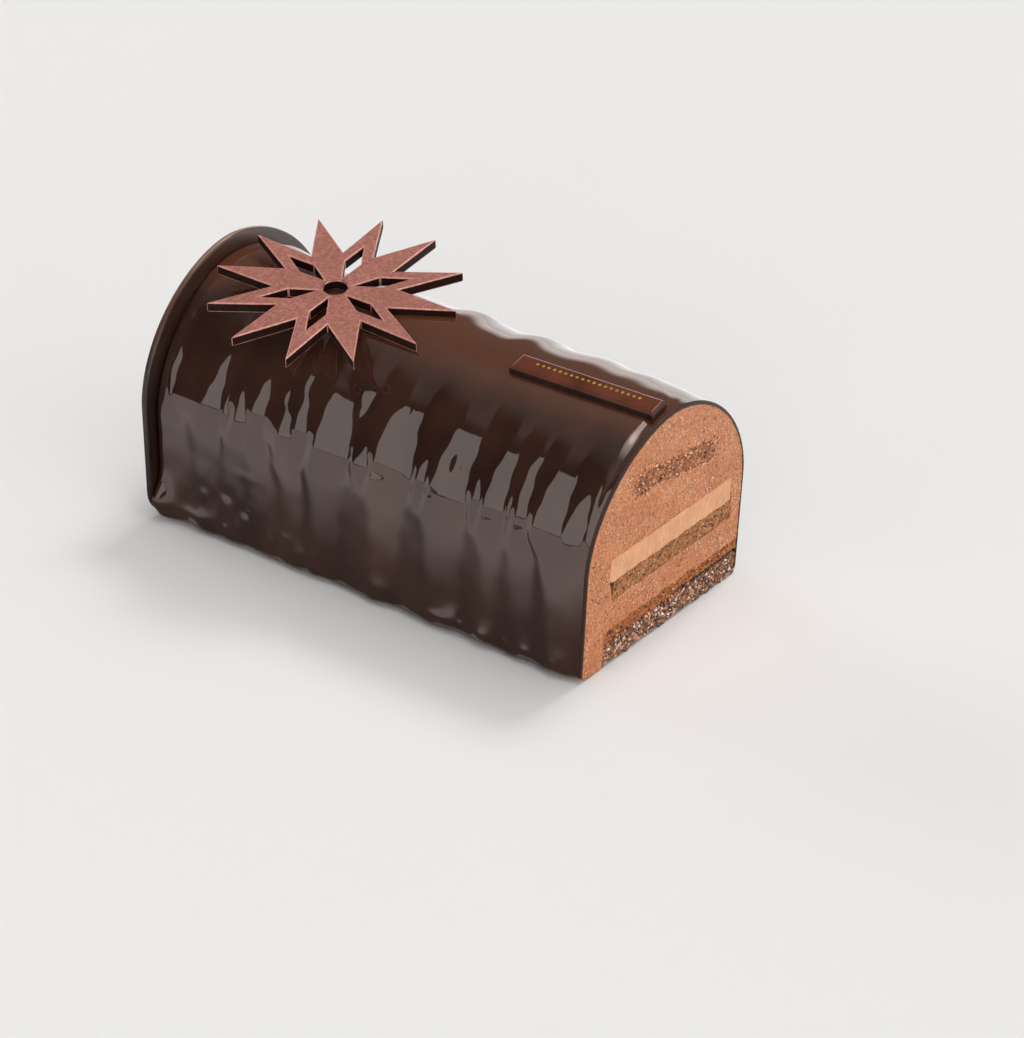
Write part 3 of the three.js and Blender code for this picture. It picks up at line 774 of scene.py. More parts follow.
def fill_points(loops, pitch, seed):
    """A jittered triangular grid inside the first loop and outside the others."""
    low, high = loops[0].min(axis=0), loops[0].max(axis=0)
    rng = np.random.default_rng(seed)
    y, z = np.meshgrid(np.arange(low[0], high[0], pitch), np.arange(low[1], high[1], pitch * 0.866))
    y = y + (np.arange(len(z))[:, None] % 2) * pitch / 2
    grid = np.column_stack([y.ravel(), z.ravel()]) + rng.uniform(-0.22, 0.22, (y.size, 2)) * pitch
    grid = grid[inside(grid, loops[0])]
    for hole in loops[1:]:
        grid = grid[~inside(grid, hole)]
    return grid[~near_loops(grid, loops, pitch * 0.45)]


# %% Blocks with a fine cut face


def block(name, loops, pitch, relief, material, seed):
    """A block from the plate to the cut. relief(y, z) is how far the knife tore the face back."""
    points, triangles, rings = triangulate(loops, fill_points(loops, pitch, seed))
    y, z = points[:, 0], points[:, 1]
    face = np.column_stack([cut_x(y, z) - relief(y, z), y, z])
    back_points, back_triangles, back_rings = triangulate(loops, np.zeros((0, 2)))
    back = np.column_stack([np.full(len(back_points), LOG_START), back_points])
    faces = triangles.tolist() + (back_triangles[:, ::-1] + len(face)).tolist()
    for ring, back_ring, loop in zip(rings, back_rings, loops):
        turn = np.sum(loop[:, 0] * np.roll(loop[:, 1], -1) - np.roll(loop[:, 0], -1) * loop[:, 1])
        outer = (turn > 0) == (loop is loops[0])
        for k in range(len(ring)):
            a, b = ring[k], ring[(k + 1) % len(ring)]
            c, d = back_ring[(k + 1) % len(ring)] + len(face), back_ring[k] + len(face)
            faces.append([b, a, d, c] if outer else [a, b, c, d])
    piece = new_piece(name, np.vstack([face, back]), faces, material)
    print(name, len(face), "points on its cut face")
    return piece


def torn(y, z, pitch, height, seed):
    """Relief of a torn crumb: only ever back from the knife's plane."""
    rough = waves(y, z, pitch, seed) + 0.7 * waves(y, z, pitch * 0.45, seed + 1)
    return height * np.clip(0.5 + 0.4 * rough, 0, 1.4)


# %% [markdown]
# The mousse is whipped chocolate and cream. Under the knife its bubbles open into pores of half a
# millimetre to a millimetre and a half, with moist rims. Cell patterns draw them, the pores darkened
# as painted shade and pale dots on the rims as painted glints: each cell of the pattern may hold one
# pore, and a random value of the cell sets its size.

# %% Mousse material


def dots(tree, place, size, share, radius):
    """1 inside dots of about radius cells, in a share of the cells, and 0 outside."""
    cells = add_node(tree, "ShaderNodeTexVoronoi", {"Scale": 1000 / size}, {"Vector": place})
    chance = add_node(tree, "ShaderNodeSeparateColor", links={"Color": cells.outputs["Color"]})
    limit = {"operation": "LESS_THAN", 1: share}
    chosen = add_node(tree, "ShaderNodeMath", limit, {0: chance.outputs["Red"]})
    sizes = {"operation": "MULTIPLY_ADD", 1: radius * 0.6, 2: radius * 0.6}
    reach = add_node(tree, "ShaderNodeMath", sizes, {0: chance.outputs["Green"]})
    links = {0: reach, 1: cells.outputs["Distance"]}
    inner = add_node(tree, "ShaderNodeMath", {"operation": "SUBTRACT"}, links)
    soft = {"interpolation_type": "SMOOTHSTEP", "From Max": 0.12}
    shape = add_node(tree, "ShaderNodeMapRange", soft, {"Value": inner})
    return add_node(tree, "ShaderNodeMath", {"operation": "MULTIPLY"}, {0: chosen, 1: shape})


def mousse_material():
    """Airy and moist: a clouded tan, grain dragged by the knife, painted shade in pores, painted glints."""
    material, tree, shader, place = new_material("whipped_mousse", 0.38)
    cloud = grain(tree, place, 9, 4, 0.6)
    stops = [(0.3, "#c87541"), (0.5, "#d5844f"), (0.72, "#e19562")]
    tone = add_node(tree, "ShaderNodeValToRGB", {"stops": stops}, {"Fac": cloud})
    fine = grain(tree, place, 0.55, 3, 0.7)
    drag = grain(tree, place, 0.9, 2, 0.6, stretch=(0.3, 1.2, 0.8))
    tone = laid_over(tree, tone, fine, 0.47, 0.58, 0.85, "#9c4f22")
    tone = laid_over(tree, tone, drag, 0.5, 0.64, 0.4, "#f2b886")
    large = dots(tree, place, 3.2, 0.30, 0.22)
    small = dots(tree, place, 1.3, 0.50, 0.30)
    # Dark pores: painted shade in the open bubbles.
    tone = laid_over(tree, tone, large, 0, 1, 0.75, "#5c2a12")
    tone = laid_over(tree, tone, small, 0, 1, 0.55, "#6e3418")
    # Pale dots: painted glints, a painted highlight on the bubbles' moist rims.
    glints = dots(tree, place, 0.95, 0.38, 0.32)
    tone = laid_over(tree, tone, glints, 0, 1, 0.9, "#ffeeda")
    dress(tree, shader, tone, 0.7, [(fine, 0.8), (drag, 0.7), (large, -1.0), (small, -0.8), (glints, 0.5)])
    return material


MOUSSE_MATERIAL = mousse_material()
print("mousse material:", len(MOUSSE_MATERIAL.node_tree.nodes), "nodes")

# %% Mousse block
FOOT_CORNER = 2.6


def mousse_loops():
    """The mousse's section, and the pockets of the stack and of the top biscuit in it."""
    dome = resample(arch_outline(WALL_Y, MOUSSE_HEIGHT, SHOULDER_HEIGHT), 150)[::-1]
    up = np.linspace(BOTTOM_BISCUIT_TOP + 0.6, SHOULDER_HEIGHT, 31)[:-1]
    down = np.linspace(SHOULDER_HEIGHT, MOUSSE_FLOOR + FOOT_CORNER, 41)[1:]
    far = np.column_stack([np.full(30, WALL_Y), up])
    near = np.column_stack([np.full(40, -WALL_Y), down])
    turn = np.linspace(math.pi, 1.5 * math.pi, 7)[1:-1]
    corner = np.column_stack([FOOT_CORNER * (1 + np.cos(turn)) - WALL_Y, FOOT_CORNER * (1 + np.sin(turn))])
    corner[:, 1] += MOUSSE_FLOOR
    foot = strip_line(-WALL_Y + FOOT_CORNER, BASE_LEFT - 0.05, MOUSSE_FLOOR, 0.12, 21)
    rise = np.column_stack([np.full(12, BASE_LEFT - 0.03), np.linspace(1.2, biscuit_top[0, 1] - 0.6, 12)])
    under = biscuit_top.copy()
    under[:, 1] += 0.02
    outline = np.vstack([foot, rise, under, far, dome, near, corner])
    stack = np.vstack([low_middle, biscuit_right, cream_top[::-1], cream_left[::-1]])
    return [outline, stack, top_loop]


def mousse_relief(y, z):
    """Soft hollows, and small pits where bubbles opened."""
    pits = np.clip(waves(y, z, 1.9, 32) - 0.4, 0, 2) + 0.6 * np.clip(waves(y, z, 1.1, 33) - 0.5, 0, 2)
    return 0.10 + 0.04 * waves(y, z, 5, 31) + 0.12 * pits


mousse = block("mousse_block", mousse_loops(), 0.52, mousse_relief, MOUSSE_MATERIAL, 1)

# %% [markdown]
# Cream is smooth and paler than the mousse; the knife only draws faint streaks in it. Biscuit is a
# baked foam: brown walls round holes darkened as painted shade, with crumbs dragged across it. The
# crunch is praline and crushed wafer in chocolate: amber flakes, darker between the shards, and pale
# sugar brightened with painted glints.

# %% Cream, biscuit and crunch materials


def cream_material():
    """Dense and smooth, with faint streaks across it from the knife."""
    material, tree, shader, place = new_material("set_cream", 0.42)
    stops = [(0.3, "#cd9063"), (0.7, "#e0a67a")]
    tone = add_node(tree, "ShaderNodeValToRGB", {"stops": stops}, {"Fac": grain(tree, place, 7)})
    streaks = grain(tree, place, 1.0, 3, 0.6, stretch=(0.3, 2.0, 0.4))
    tone = laid_over(tree, tone, streaks, 0.48, 0.68, 0.6, "#b87b50")
    dress(tree, shader, tone, 0.14, [(streaks, 1.0)])
    return material


def biscuit_material(name, hole, wall, pale, smear, smeared):
    """A baked foam: walls round small holes in painted shade, and mousse dragged over it by the knife."""
    material, tree, shader, place = new_material(name, 0.7, 1.38)
    crumb = grain(tree, place, 1.0, 4, 0.7)
    stops = [(0.34, hole), (0.45, wall), (0.66, pale)]
    tone = add_node(tree, "ShaderNodeValToRGB", {"stops": stops}, {"Fac": crumb})
    large = dots(tree, place, 1.8, 0.35, 0.28)
    small = dots(tree, place, 0.95, 0.45, 0.32)
    # The holes take the dark hole tone: painted shade in the recesses.
    tone = laid_over(tree, tone, large, 0, 1, 0.85, hole)
    tone = laid_over(tree, tone, small, 0, 1, 0.6, hole)
    dragged = grain(tree, place, 3.2, 4, 0.7, stretch=(1, 0.8, 1.3))
    tone = laid_over(tree, tone, dragged, 0.62 - smeared, 0.8 - smeared, 0.8, smear)
    dress(tree, shader, tone, 0.5, [(crumb, 1.0), (large, -1.0), (small, -0.6)])
    return material


def crunch_material():
    """Crushed wafer and praline, each shard its own brown, darker towards the shards' edges."""
    material, tree, shader, place = new_material("praline_crunch", 0.3)
    cells = add_node(tree, "ShaderNodeTexVoronoi", {"Scale": 1000 / 1.1}, {"Vector": place})
    chance = add_node(tree, "ShaderNodeSeparateColor", links={"Color": cells.outputs["Color"]})
    stops = [(0.0, "#42241a"), (0.35, "#7a482f"), (0.7, "#b2724c"), (0.95, "#e8ae82")]
    tone = add_node(tree, "ShaderNodeValToRGB", {"stops": stops}, {"Fac": chance.outputs["Red"]})
    tone = laid_over(tree, tone, cells.outputs["Distance"], 0.35, 0.6, 0.7, "#2b160e")
    # Pale sugar specks brightened into painted glints: partly the sugar's own colour, partly painted
    # highlight.
    glints = dots(tree, place, 0.8, 0.24, 0.32)
    tone = laid_over(tree, tone, glints, 0, 1, 0.9, "#fdeadb")
    dress(tree, shader, tone, 0.5, [(cells.outputs["Distance"], -1.0), (glints, 0.4)])
    return material


BISCUITS = {
    "middle": biscuit_material("almond_biscuit", "#40220f", "#98613c", "#c48b5a", "#d28f5d", 0.08),
    "top": biscuit_material("cocoa_biscuit", "#371c12", "#84503b", "#b27553", "#c28058", 0.14),
    "bottom": biscuit_material("soaked_biscuit", "#3c1c0a", "#98552a", "#cb8048", "#c67d48", 0.10),
}
print("biscuits:", [material.name for material in BISCUITS.values()])

# Tempered chocolate spread thin: satin, nearly black in the section.
TEMPERED = two_tone("tempered_chocolate", [(0.35, "#26120b"), (0.7, "#3a1e13")], 3, 0.4, 1.5, 0.03, 1.6)

# %% Layers
LAYER_PITCH = 0.5
FIRST_TORN_SEED = 41
FIRST_FILL_SEED = 2

# Each layer: outline, how deep it lies, pitch and height of its torn relief in mm, and material.
LAYERS = {
    "cream_strip": ("cream", 0.0, 4.0, 0.08, cream_material()),
    "middle_sponge": ("middle_biscuit", 0.0, 2.2, 0.4, BISCUITS["middle"]),
    "top_sponge": ("top_biscuit", 0.0, 2.0, 0.4, BISCUITS["top"]),
    "bottom_sponge": ("bottom_biscuit", 0.0, 2.0, 0.6, BISCUITS["bottom"]),
    "chocolate_sheet": ("film", 0.5, 3.0, 0.2, TEMPERED),
    "crunch_slab": ("crunch", 0.0, 2.0, 0.9, crunch_material()),
}


def layer(name, number):
    """One layer as a block, with its own random draw."""
    loop, sunk, pitch, height, material = LAYERS[name]

    def relief(y, z):
        return sunk + torn(y, z, pitch, height, FIRST_TORN_SEED + number)

    return block(name, [LOOPS[loop]], LAYER_PITCH, relief, material, FIRST_FILL_SEED + number)


layers = {name: layer(name, number) for number, name in enumerate(LAYERS)}

# %% [markdown]
# Crumbs and flakes stand out of the cut by less than a millimetre. They repeat by the hundred, so
# a node tree scatters them: points on the cut face, a small lump on each, turned and sized at random
# from a fixed seed. Each lump carries a random tone that its material reads.

# %% Helpers for geometry trees


def new_tree(name, inputs, output):
    """An empty geometry tree, the identifiers of its named inputs, and the inputs as sockets."""
    tree = bpy.data.node_groups.new(name, "GeometryNodeTree")
    identifiers = {}
    for label, kind in inputs.items():
        socket = tree.interface.new_socket(label, in_out="INPUT", socket_type="NodeSocket" + kind)
        identifiers[label] = socket.identifier
    tree.interface.new_socket(output, in_out="OUTPUT", socket_type="NodeSocketGeometry")
    return tree, identifiers, add_node(tree, "NodeGroupInput").outputs


def real_in_material(tree, geometry, material):
    """Real geometry that carries its material, as the export needs it."""
    real = add_node(tree, "GeometryNodeRealizeInstances", links={"Geometry": geometry})
    return add_node(tree, "GeometryNodeSetMaterial", links={"Geometry": real, "Material": material})


def grown(name, tree, identifiers, values, start=None):
    """Runs a tree on an object, or on nothing, and returns the result as a plain mesh object."""
    source = start or bpy.data.objects.new(name + "_start", bpy.data.meshes.new(name + "_start"))
    if start is None:
        bpy.context.scene.collection.objects.link(source)
    modifier = source.modifiers.new("tree", "NODES")
    modifier.node_group = tree
    for label, value in values.items():
        modifier[identifiers[label]] = value
    depsgraph = bpy.context.evaluated_depsgraph_get()
    mesh = bpy.data.meshes.new_from_object(source.evaluated_get(depsgraph))
    mesh.name = name
    source.modifiers.remove(modifier)
    bpy.data.objects.remove(source)
    piece = bpy.data.objects.new(name, mesh)
    bpy.context.scene.collection.objects.link(piece)
    return piece


# %% A tree that scatters lumps


def lump_tree():
    inputs = {"Face": "Geometry", "Lumps per square mm": "Float", "Smallest": "Float", "Largest": "Float"}
    inputs |= {"Seed": "Int", "Material": "Material"}
    tree, identifiers, given = new_tree("scatter_lumps", inputs, "Lumps")
    per_square_metre = {"operation": "MULTIPLY", 1: 1 / (MM * MM)}
    density = add_node(tree, "ShaderNodeMath", per_square_metre, {0: given["Lumps per square mm"]})
    links = {"Mesh": given["Face"], "Density": density, "Seed": given["Seed"]}
    spots = add_node(tree, "GeometryNodeDistributePointsOnFaces", {"distribute_method": "RANDOM"}, links)
    tone = add_node(tree, "FunctionNodeRandomValue", {"data_type": "FLOAT"}, {"Seed": given["Seed"]})
    settings = {"data_type": "FLOAT", "domain": "POINT", "Name": "tone"}
    links = {"Geometry": spots, "Value": tone.outputs[1]}
    toned = add_node(tree, "GeometryNodeStoreNamedAttribute", settings, links)
    lump = add_node(tree, "GeometryNodeMeshIcoSphere", {"Radius": 0.5, "Subdivisions": 2})
    place = add_node(tree, "GeometryNodeInputPosition")
    rough = add_node(tree, "ShaderNodeTexNoise", {"Scale": 1.7, "Detail": 1.0}, {"Vector": place})
    middle = {"operation": "SUBTRACT", 1: (0.5, 0.5, 0.5)}
    centred = add_node(tree, "ShaderNodeVectorMath", middle, {0: rough.outputs["Color"]})
    offset = add_node(tree, "ShaderNodeVectorMath", {"operation": "SCALE", "Scale": 0.9}, {0: centred})
    lumpy = add_node(tree, "GeometryNodeSetPosition", links={"Geometry": lump, "Offset": offset})
    any_turn = {"data_type": "FLOAT_VECTOR", 1: (2 * math.pi, 2 * math.pi, 2 * math.pi), "Seed": 3}
    turn = add_node(tree, "FunctionNodeRandomValue", any_turn)
    links = {2: given["Smallest"], 3: given["Largest"]}
    size = add_node(tree, "FunctionNodeRandomValue", {"data_type": "FLOAT", "Seed": 5}, links)
    proportions = {"data_type": "FLOAT_VECTOR", 0: (0.6, 0.6, 0.5), 1: (1.3, 1.1, 1.0), "Seed": 7}
    flat = add_node(tree, "FunctionNodeRandomValue", proportions)
    links = {0: flat.outputs[0], "Scale": size.outputs[1]}
    scale = add_node(tree, "ShaderNodeVectorMath", {"operation": "SCALE"}, links)
    links = {"Points": toned, "Instance": lumpy, "Rotation": turn.outputs[0], "Scale": scale}
    placed = add_node(tree, "GeometryNodeInstanceOnPoints", links=links)
    coloured = real_in_material(tree, placed, given["Material"])
    add_node(tree, "NodeGroupOutput", links={"Lumps": coloured})
    return tree, identifiers


LUMP_TREE, LUMP_INPUTS = lump_tree()
print("lump tree:", len(LUMP_TREE.nodes), "nodes")

# %% Materials of the lumps


def lump_material(name, stops, roughness):
    """A moist crumb or flake, toned lump by lump, with darker hollows."""
    material, tree, shader, place = new_material(name, roughness)
    tone = add_node(tree, "ShaderNodeAttribute", {"attribute_name": "tone"}).outputs["Fac"]
    colour = add_node(tree, "ShaderNodeValToRGB", {"stops": stops}, {"Fac": tone})
    dress(tree, shader, laid_over(tree, colour, grain(tree, place, 0.6, 2), 0.4, 0.7, 0.35, "#351c12"))
    return material


FLAKE_TONES = [(0.0, "#3e2116"), (0.3, "#77482e"), (0.6, "#b87750"), (0.82, "#e2ae83"), (0.93, "#fff3e8")]
CRUMB_TONES = [(0.0, "#44220f"), (0.45, "#935831"), (0.8, "#c4834f"), (1.0, "#e8b384")]
# Mousse crumbs: their palest tones, near white, are partly painted glints.
MOUSSE_TONES = [(0.0, "#b0683c"), (0.5, "#d48a58"), (0.85, "#e8ad80"), (1.0, "#ffe9d6")]
FLAKE = lump_material("praline_flakes", FLAKE_TONES, 0.24)
CRUMB = lump_material("biscuit_crumbs", CRUMB_TONES, 0.65)
MOUSSE_BIT = lump_material("mousse_bits", MOUSSE_TONES, 0.35)
print("lump materials:", FLAKE.name, CRUMB.name, MOUSSE_BIT.name)

# %% Lumps on the cut face
FILM_CLEARANCE = 0.9
FIRST_LUMP_SEED = 71


def grown_loop(name, across, up):
    """A layer's outline stretched about its middle by a number of millimetres each way."""
    loop = LOOPS[name]
    middle = (loop.min(axis=0) + loop.max(axis=0)) / 2
    half = (loop.max(axis=0) - loop.min(axis=0)) / 2
    return middle + (loop - middle) * (1 + np.array([across, up]) / half)


def kept_off_film(name, low, high):
    """A layer's outline that stays clear of the chocolate film."""
    loop = LOOPS[name].copy()
    loop[:, 1] = loop[:, 1].clip(low, high)
    return loop


below_film = kept_off_film("crunch", None, CRUNCH_TOP - FILM_CLEARANCE)
above_film = kept_off_film("bottom_biscuit", FILM_TOP + FILM_CLEARANCE, None)

# Lumps: where, lumps per square mm, smallest and largest in mm, how deep they sit in mm, material.
LUMPS = {
    "crunch_flakes": (below_film, 1.5, 0.8, 1.7, 0.7, FLAKE),
    "bottom_crumbs": (above_film, 1.0, 0.5, 1.2, 0.4, CRUMB),
    "middle_crumbs": (LOOPS["middle_biscuit"], 0.7, 0.4, 0.9, 0.3, CRUMB),
    "top_crumbs": (LOOPS["top_biscuit"], 0.7, 0.4, 0.9, 0.3, CRUMB),
    "top_smear": (grown_loop("top_biscuit", 3.5, 1.6), 0.45, 0.3, 0.7, 0.15, CRUMB),
    "top_bits": (grown_loop("top_biscuit", 1.0, 0.8), 0.9, 0.4, 1.0, 0.2, MOUSSE_BIT),
}


def scattered(name, seed):
    """Lumps on a part of the cut face, sunk into it a little and kept above the floor."""
    loop, density, smallest, largest, sink, material = LUMPS[name]
    points, triangles, _ = triangulate([loop], np.zeros((0, 2)))
    y, z = points[:, 0], points[:, 1]
    face = np.column_stack([cut_x(y, z) - sink, y, z])
    patch = new_piece(name + "_patch", face, triangles.tolist(), material)
    values = {"Lumps per square mm": density, "Smallest": smallest * MM, "Largest": largest * MM}
    values |= {"Seed": seed, "Material": material}
    piece = grown(name, LUMP_TREE, LUMP_INPUTS, values, patch)
    for vertex in piece.data.vertices:
        vertex.co.z = max(vertex.co.z, 0.0)
    print(name, len(piece.data.polygons), "faces")
    return piece


lumps = {name: scattered(name, FIRST_LUMP_SEED + number) for number, name in enumerate(LUMPS)}

# %% [markdown]
# The end plate is a thin arch of tempered chocolate, wider than the log. Its rim is rounded, as
# chocolate spread on a sheet and stamped out is. Rings follow the outline through the thickness, and
# one more ring just inside the rim keeps the flat faces flat in their shading.

# %% End plate
PLATE_SIDE_REACH = 5.7
PLATE_TOP_REACH = 8.3
PLATE_SHOULDER = 41.6
PLATE_CORNER_RADIUS = 10.0
PLATE_LIFT = 0.4
RIM_RADIUS = 0.75


def plate_outline(inset, count=300):
    half_width = WALL_Y + PLATE_SIDE_REACH - inset
    crown = MOUSSE_HEIGHT + PLATE_TOP_REACH - inset
    foot = PLATE_LIFT + inset
    radius = PLATE_CORNER_RADIUS - inset
    dome = arch_outline(half_width, crown, PLATE_SHOULDER)
    turn = np.linspace(0, -math.pi / 2, 16)
    far = np.column_stack([half_width + radius * (np.cos(turn) - 1), foot + radius * (1 + np.sin(turn))])
    near = np.column_stack([-far[::-1, 0], far[::-1, 1]])
    return resample(np.vstack([dome, far, near, dome[:1]]), count + 1)[:-1]


def end_plate_piece(material):
    quarter = np.linspace(0, math.pi / 2, 5)
    insets = [RIM_RADIUS + 0.5, *(RIM_RADIUS * (1 - np.sin(quarter)))]
    depths = [0.0, *(RIM_RADIUS * (1 - np.cos(quarter)))]
    rings = [(inset, PLATE_BACK + depth) for inset, depth in zip(insets, depths)]
    rings += [(inset, PLATE_FRONT - depth) for inset, depth in zip(insets[::-1], depths[::-1])]
    points = []
    for inset, x in rings:
        outline = plate_outline(inset)
        points.append(np.column_stack([np.full(len(outline), x), outline]))
    count = len(points[0])
    faces = []
    for i in range(len(rings) - 1):
        for j in range(count):
            after = (j + 1) % count
            faces.append([i * count + j, i * count + after, (i + 1) * count + after, (i + 1) * count + j])
    faces.append(list(range(count - 1, -1, -1)))
    last = (len(rings) - 1) * count
    faces.append([last + j for j in range(count)])
    return new_piece("arch_plate", np.vstack(points), faces, material, sharp_above=60)


def plate_material():
    """Tempered chocolate: a painted highlight towards the crown's rim, painted shade on the front face."""
    material, tree, shader, place = new_material("stamped_chocolate", 0.26)
    stops = [(0.3, "#1f100b"), (0.55, "#291711"), (0.8, "#372019")]
    tone = add_node(tree, "ShaderNodeValToRGB", {"stops": stops}, {"Fac": grain(tree, place, 10, 4, 0.6)})
    scuffs = grain(tree, place, 3.0, 4, 0.7, stretch=(1, 0.5, 1.6))
    tone = laid_over(tree, tone, scuffs, 0.55, 0.75, 0.3, "#5e4034")
    axes = add_node(tree, "ShaderNodeSeparateXYZ", links={"Vector": place}).outputs
    # Paler with height and palest at the crown's rim: a painted highlight.
    tone = laid_over(tree, tone, axes["Z"], 0.045, 0.086, 0.65, "#7c5545")
    tone = laid_over(tree, tone, axes["Z"], 0.078, 0.087, 0.5, "#b59080")
    # The front face, in the glaze's shade, is darkened: painted shade.
    front = PLATE_FRONT * MM
    tone = laid_over(tree, tone, axes["X"], front - 0.0007, front - 0.0002, 0.75, "#24130d")
    dress(tree, shader, tone, 0.06, [(grain(tree, place, 4), 1.0), (scuffs, 0.3)])
    return material


plate = end_plate_piece(plate_material())
print("plate:", len(plate.data.polygons), "faces")

# %% [markdown]
# The star was cut from a chocolate sheet and sprayed with velvet, a mist of cocoa butter that
# freezes into a fine matt grain. Its shape follows a rule: twelve points, a round hole, and a kite in
# every other arm. The tree draws these curves, fills between them and gives the sheet its thickness.

# %% Star tree
STAR_RADIUS = 40.9
STAR_THICKNESS = 3.5
STAR_POINTS = 12
STAR_TOP_CENTRE = Vector((-39.1, -4.9, 82.9))
STAR_SPIN = 166.2
STAR_DIP_ALONG = math.radians(3.2)
STAR_DIP_ACROSS = math.radians(-6.5)


def star_tree():
    inputs = {"Points": "Int", "Radius": "Float", "Valley radius": "Float", "Hole radius": "Float"}
    inputs |= {"Kite place": "Float", "Kite width": "Float", "Kite inner length": "Float"}
    inputs |= {"Kite outer length": "Float", "Thickness": "Float"}
    inputs |= {"Material": "Material", "Side material": "Material"}
    tree, identifiers, given = new_tree("pierced_star", inputs, "Star")
    links = {"Points": given["Points"], "Inner Radius": given["Valley radius"]}
    links["Outer Radius"] = given["Radius"]
    outline = add_node(tree, "GeometryNodeCurveStar", links=links)
    circle = {"mode": "RADIUS", "Resolution": 32}
    hole = add_node(tree, "GeometryNodeCurvePrimitiveCircle", circle, {"Radius": given["Hole radius"]})
    half = add_node(tree, "ShaderNodeMath", {"operation": "DIVIDE", 1: 2.0}, {0: given["Points"]})
    links = {"Vertices": half, "Radius": given["Kite place"]}
    spots = add_node(tree, "GeometryNodeMeshCircle", {"fill_type": "NONE"}, links)
    links = {"Width": given["Kite width"], "Bottom Height": given["Kite inner length"]}
    links["Top Height"] = given["Kite outer length"]
    kite = add_node(tree, "GeometryNodeCurvePrimitiveQuadrilateral", {"mode": "KITE"}, links)
    place = add_node(tree, "GeometryNodeInputPosition")
    outward = {"axis": "Y", "pivot_axis": "Z"}
    facing = add_node(tree, "FunctionNodeAlignRotationToVector", outward, {"Vector": place})
    links = {"Points": spots, "Instance": kite, "Rotation": facing.outputs["Rotation"]}
    kites = add_node(tree, "GeometryNodeInstanceOnPoints", links=links)
    real_kites = add_node(tree, "GeometryNodeRealizeInstances", links={"Geometry": kites})
    curves = add_node(tree, "GeometryNodeJoinGeometry")
    for source in (outline, hole, real_kites):
        tree.links.new(output_of(source), curves.inputs[0])
    sheet = add_node(tree, "GeometryNodeFillCurve", {"mode": "TRIANGLES"}, {"Curve": curves})
    links = {"Mesh": sheet, "Offset Scale": given["Thickness"]}
    raised = add_node(tree, "GeometryNodeExtrudeMesh", {"mode": "FACES", "Individual": False}, links)
    underside = add_node(tree, "GeometryNodeFlipFaces", links={"Mesh": sheet})
    both = add_node(tree, "GeometryNodeJoinGeometry")
    for source in (raised, underside):
        tree.links.new(output_of(source), both.inputs[0])
    merged = add_node(tree, "GeometryNodeMergeByDistance", {"Distance": 0.00001}, {"Geometry": both})
    coloured = real_in_material(tree, merged, given["Material"])
    # Steep faces take the side material: painted shade on the star's sides.
    normal = add_node(tree, "GeometryNodeInputNormal").outputs[0]
    upward = add_node(tree, "ShaderNodeSeparateXYZ", links={"Vector": normal}).outputs["Z"]
    steep = add_node(tree, "ShaderNodeMath", {"operation": "ABSOLUTE"}, {0: upward})
    is_side = add_node(tree, "ShaderNodeMath", {"operation": "LESS_THAN", 1: 0.5}, {0: steep})
    links = {"Geometry": coloured, "Selection": is_side, "Material": given["Side material"]}
    sided = add_node(tree, "GeometryNodeSetMaterial", links=links)
    add_node(tree, "NodeGroupOutput", links={"Star": sided})
    return tree, identifiers


print("star radius:", STAR_RADIUS, "mm")

# %% Velvet and the star


def velvet_material():
    """Cocoa butter sprayed on frozen chocolate: a matt skin with the grain of orange peel."""
    material, tree, shader, place = new_material("velvet_spray", 0.45)
    peel = grain(tree, place, 1.3, 3, 0.6)
    mist = grain(tree, place, 0.5, 3, 0.7)
    stops = [(0.34, "#85483b"), (0.5, "#9b5a4b"), (0.68, "#b37262")]
    tone = add_node(tree, "ShaderNodeValToRGB", {"stops": stops}, {"Fac": peel})
    tone = laid_over(tree, tone, mist, 0.45, 0.75, 0.35, "#c4887a")
    tone = laid_over(tree, tone, grain(tree, place, 13), 0.4, 0.7, 0.3, "#864838")
    dress(tree, shader, tone, 0.75, [(peel, 0.8), (mist, 0.2)])
    return material


# The side walls, darkened as painted shade: nearly black chocolate.
SIDE = two_tone("painted_shade_star_side", [(0.3, "#1b0c09"), (0.7, "#2d1712")], 1.2, 0.6, 1.2)
# The stamped edge, painted pale: a painted highlight along every bevel.
EDGE = two_tone("painted_highlight_edge", [(0.3, "#a9695a"), (0.7, "#d89a8a")], 1.2, 0.3, 1.6, 0.05, 0.8)
# Lengths in the star, as shares of its radius.
STAR_SHARES = {
    "Radius": 1.0,
    "Valley radius": 0.49,
    "Hole radius": 0.095,
    "Kite place": 0.357,
    "Kite width": 0.135,
    "Kite inner length": 0.217,
    "Kite outer length": 0.233,
}
STAR_TREE, STAR_INPUTS = star_tree()
star_values = {name: share * STAR_RADIUS * MM for name, share in STAR_SHARES.items()}
star_values |= {"Points": STAR_POINTS, "Thickness": STAR_THICKNESS * MM}
star_values |= {"Material": velvet_material(), "Side material": SIDE}
star = grown("velvet_star", STAR_TREE, STAR_INPUTS, star_values)
star.data.materials.append(EDGE)
print("star from the tree:", len(star.data.vertices), "points,", len(star.data.polygons), "faces")

# %% [markdown]
# The tree draws the star flat about the origin. Its first point has to face the right way, and the
# sheet leans with the dome that it rests on. A small bevel rounds the stamped edge and takes a pale
# material, a painted highlight that draws the bright line along each arm.

# %% Star in place
STAR_BEVEL = 0.38


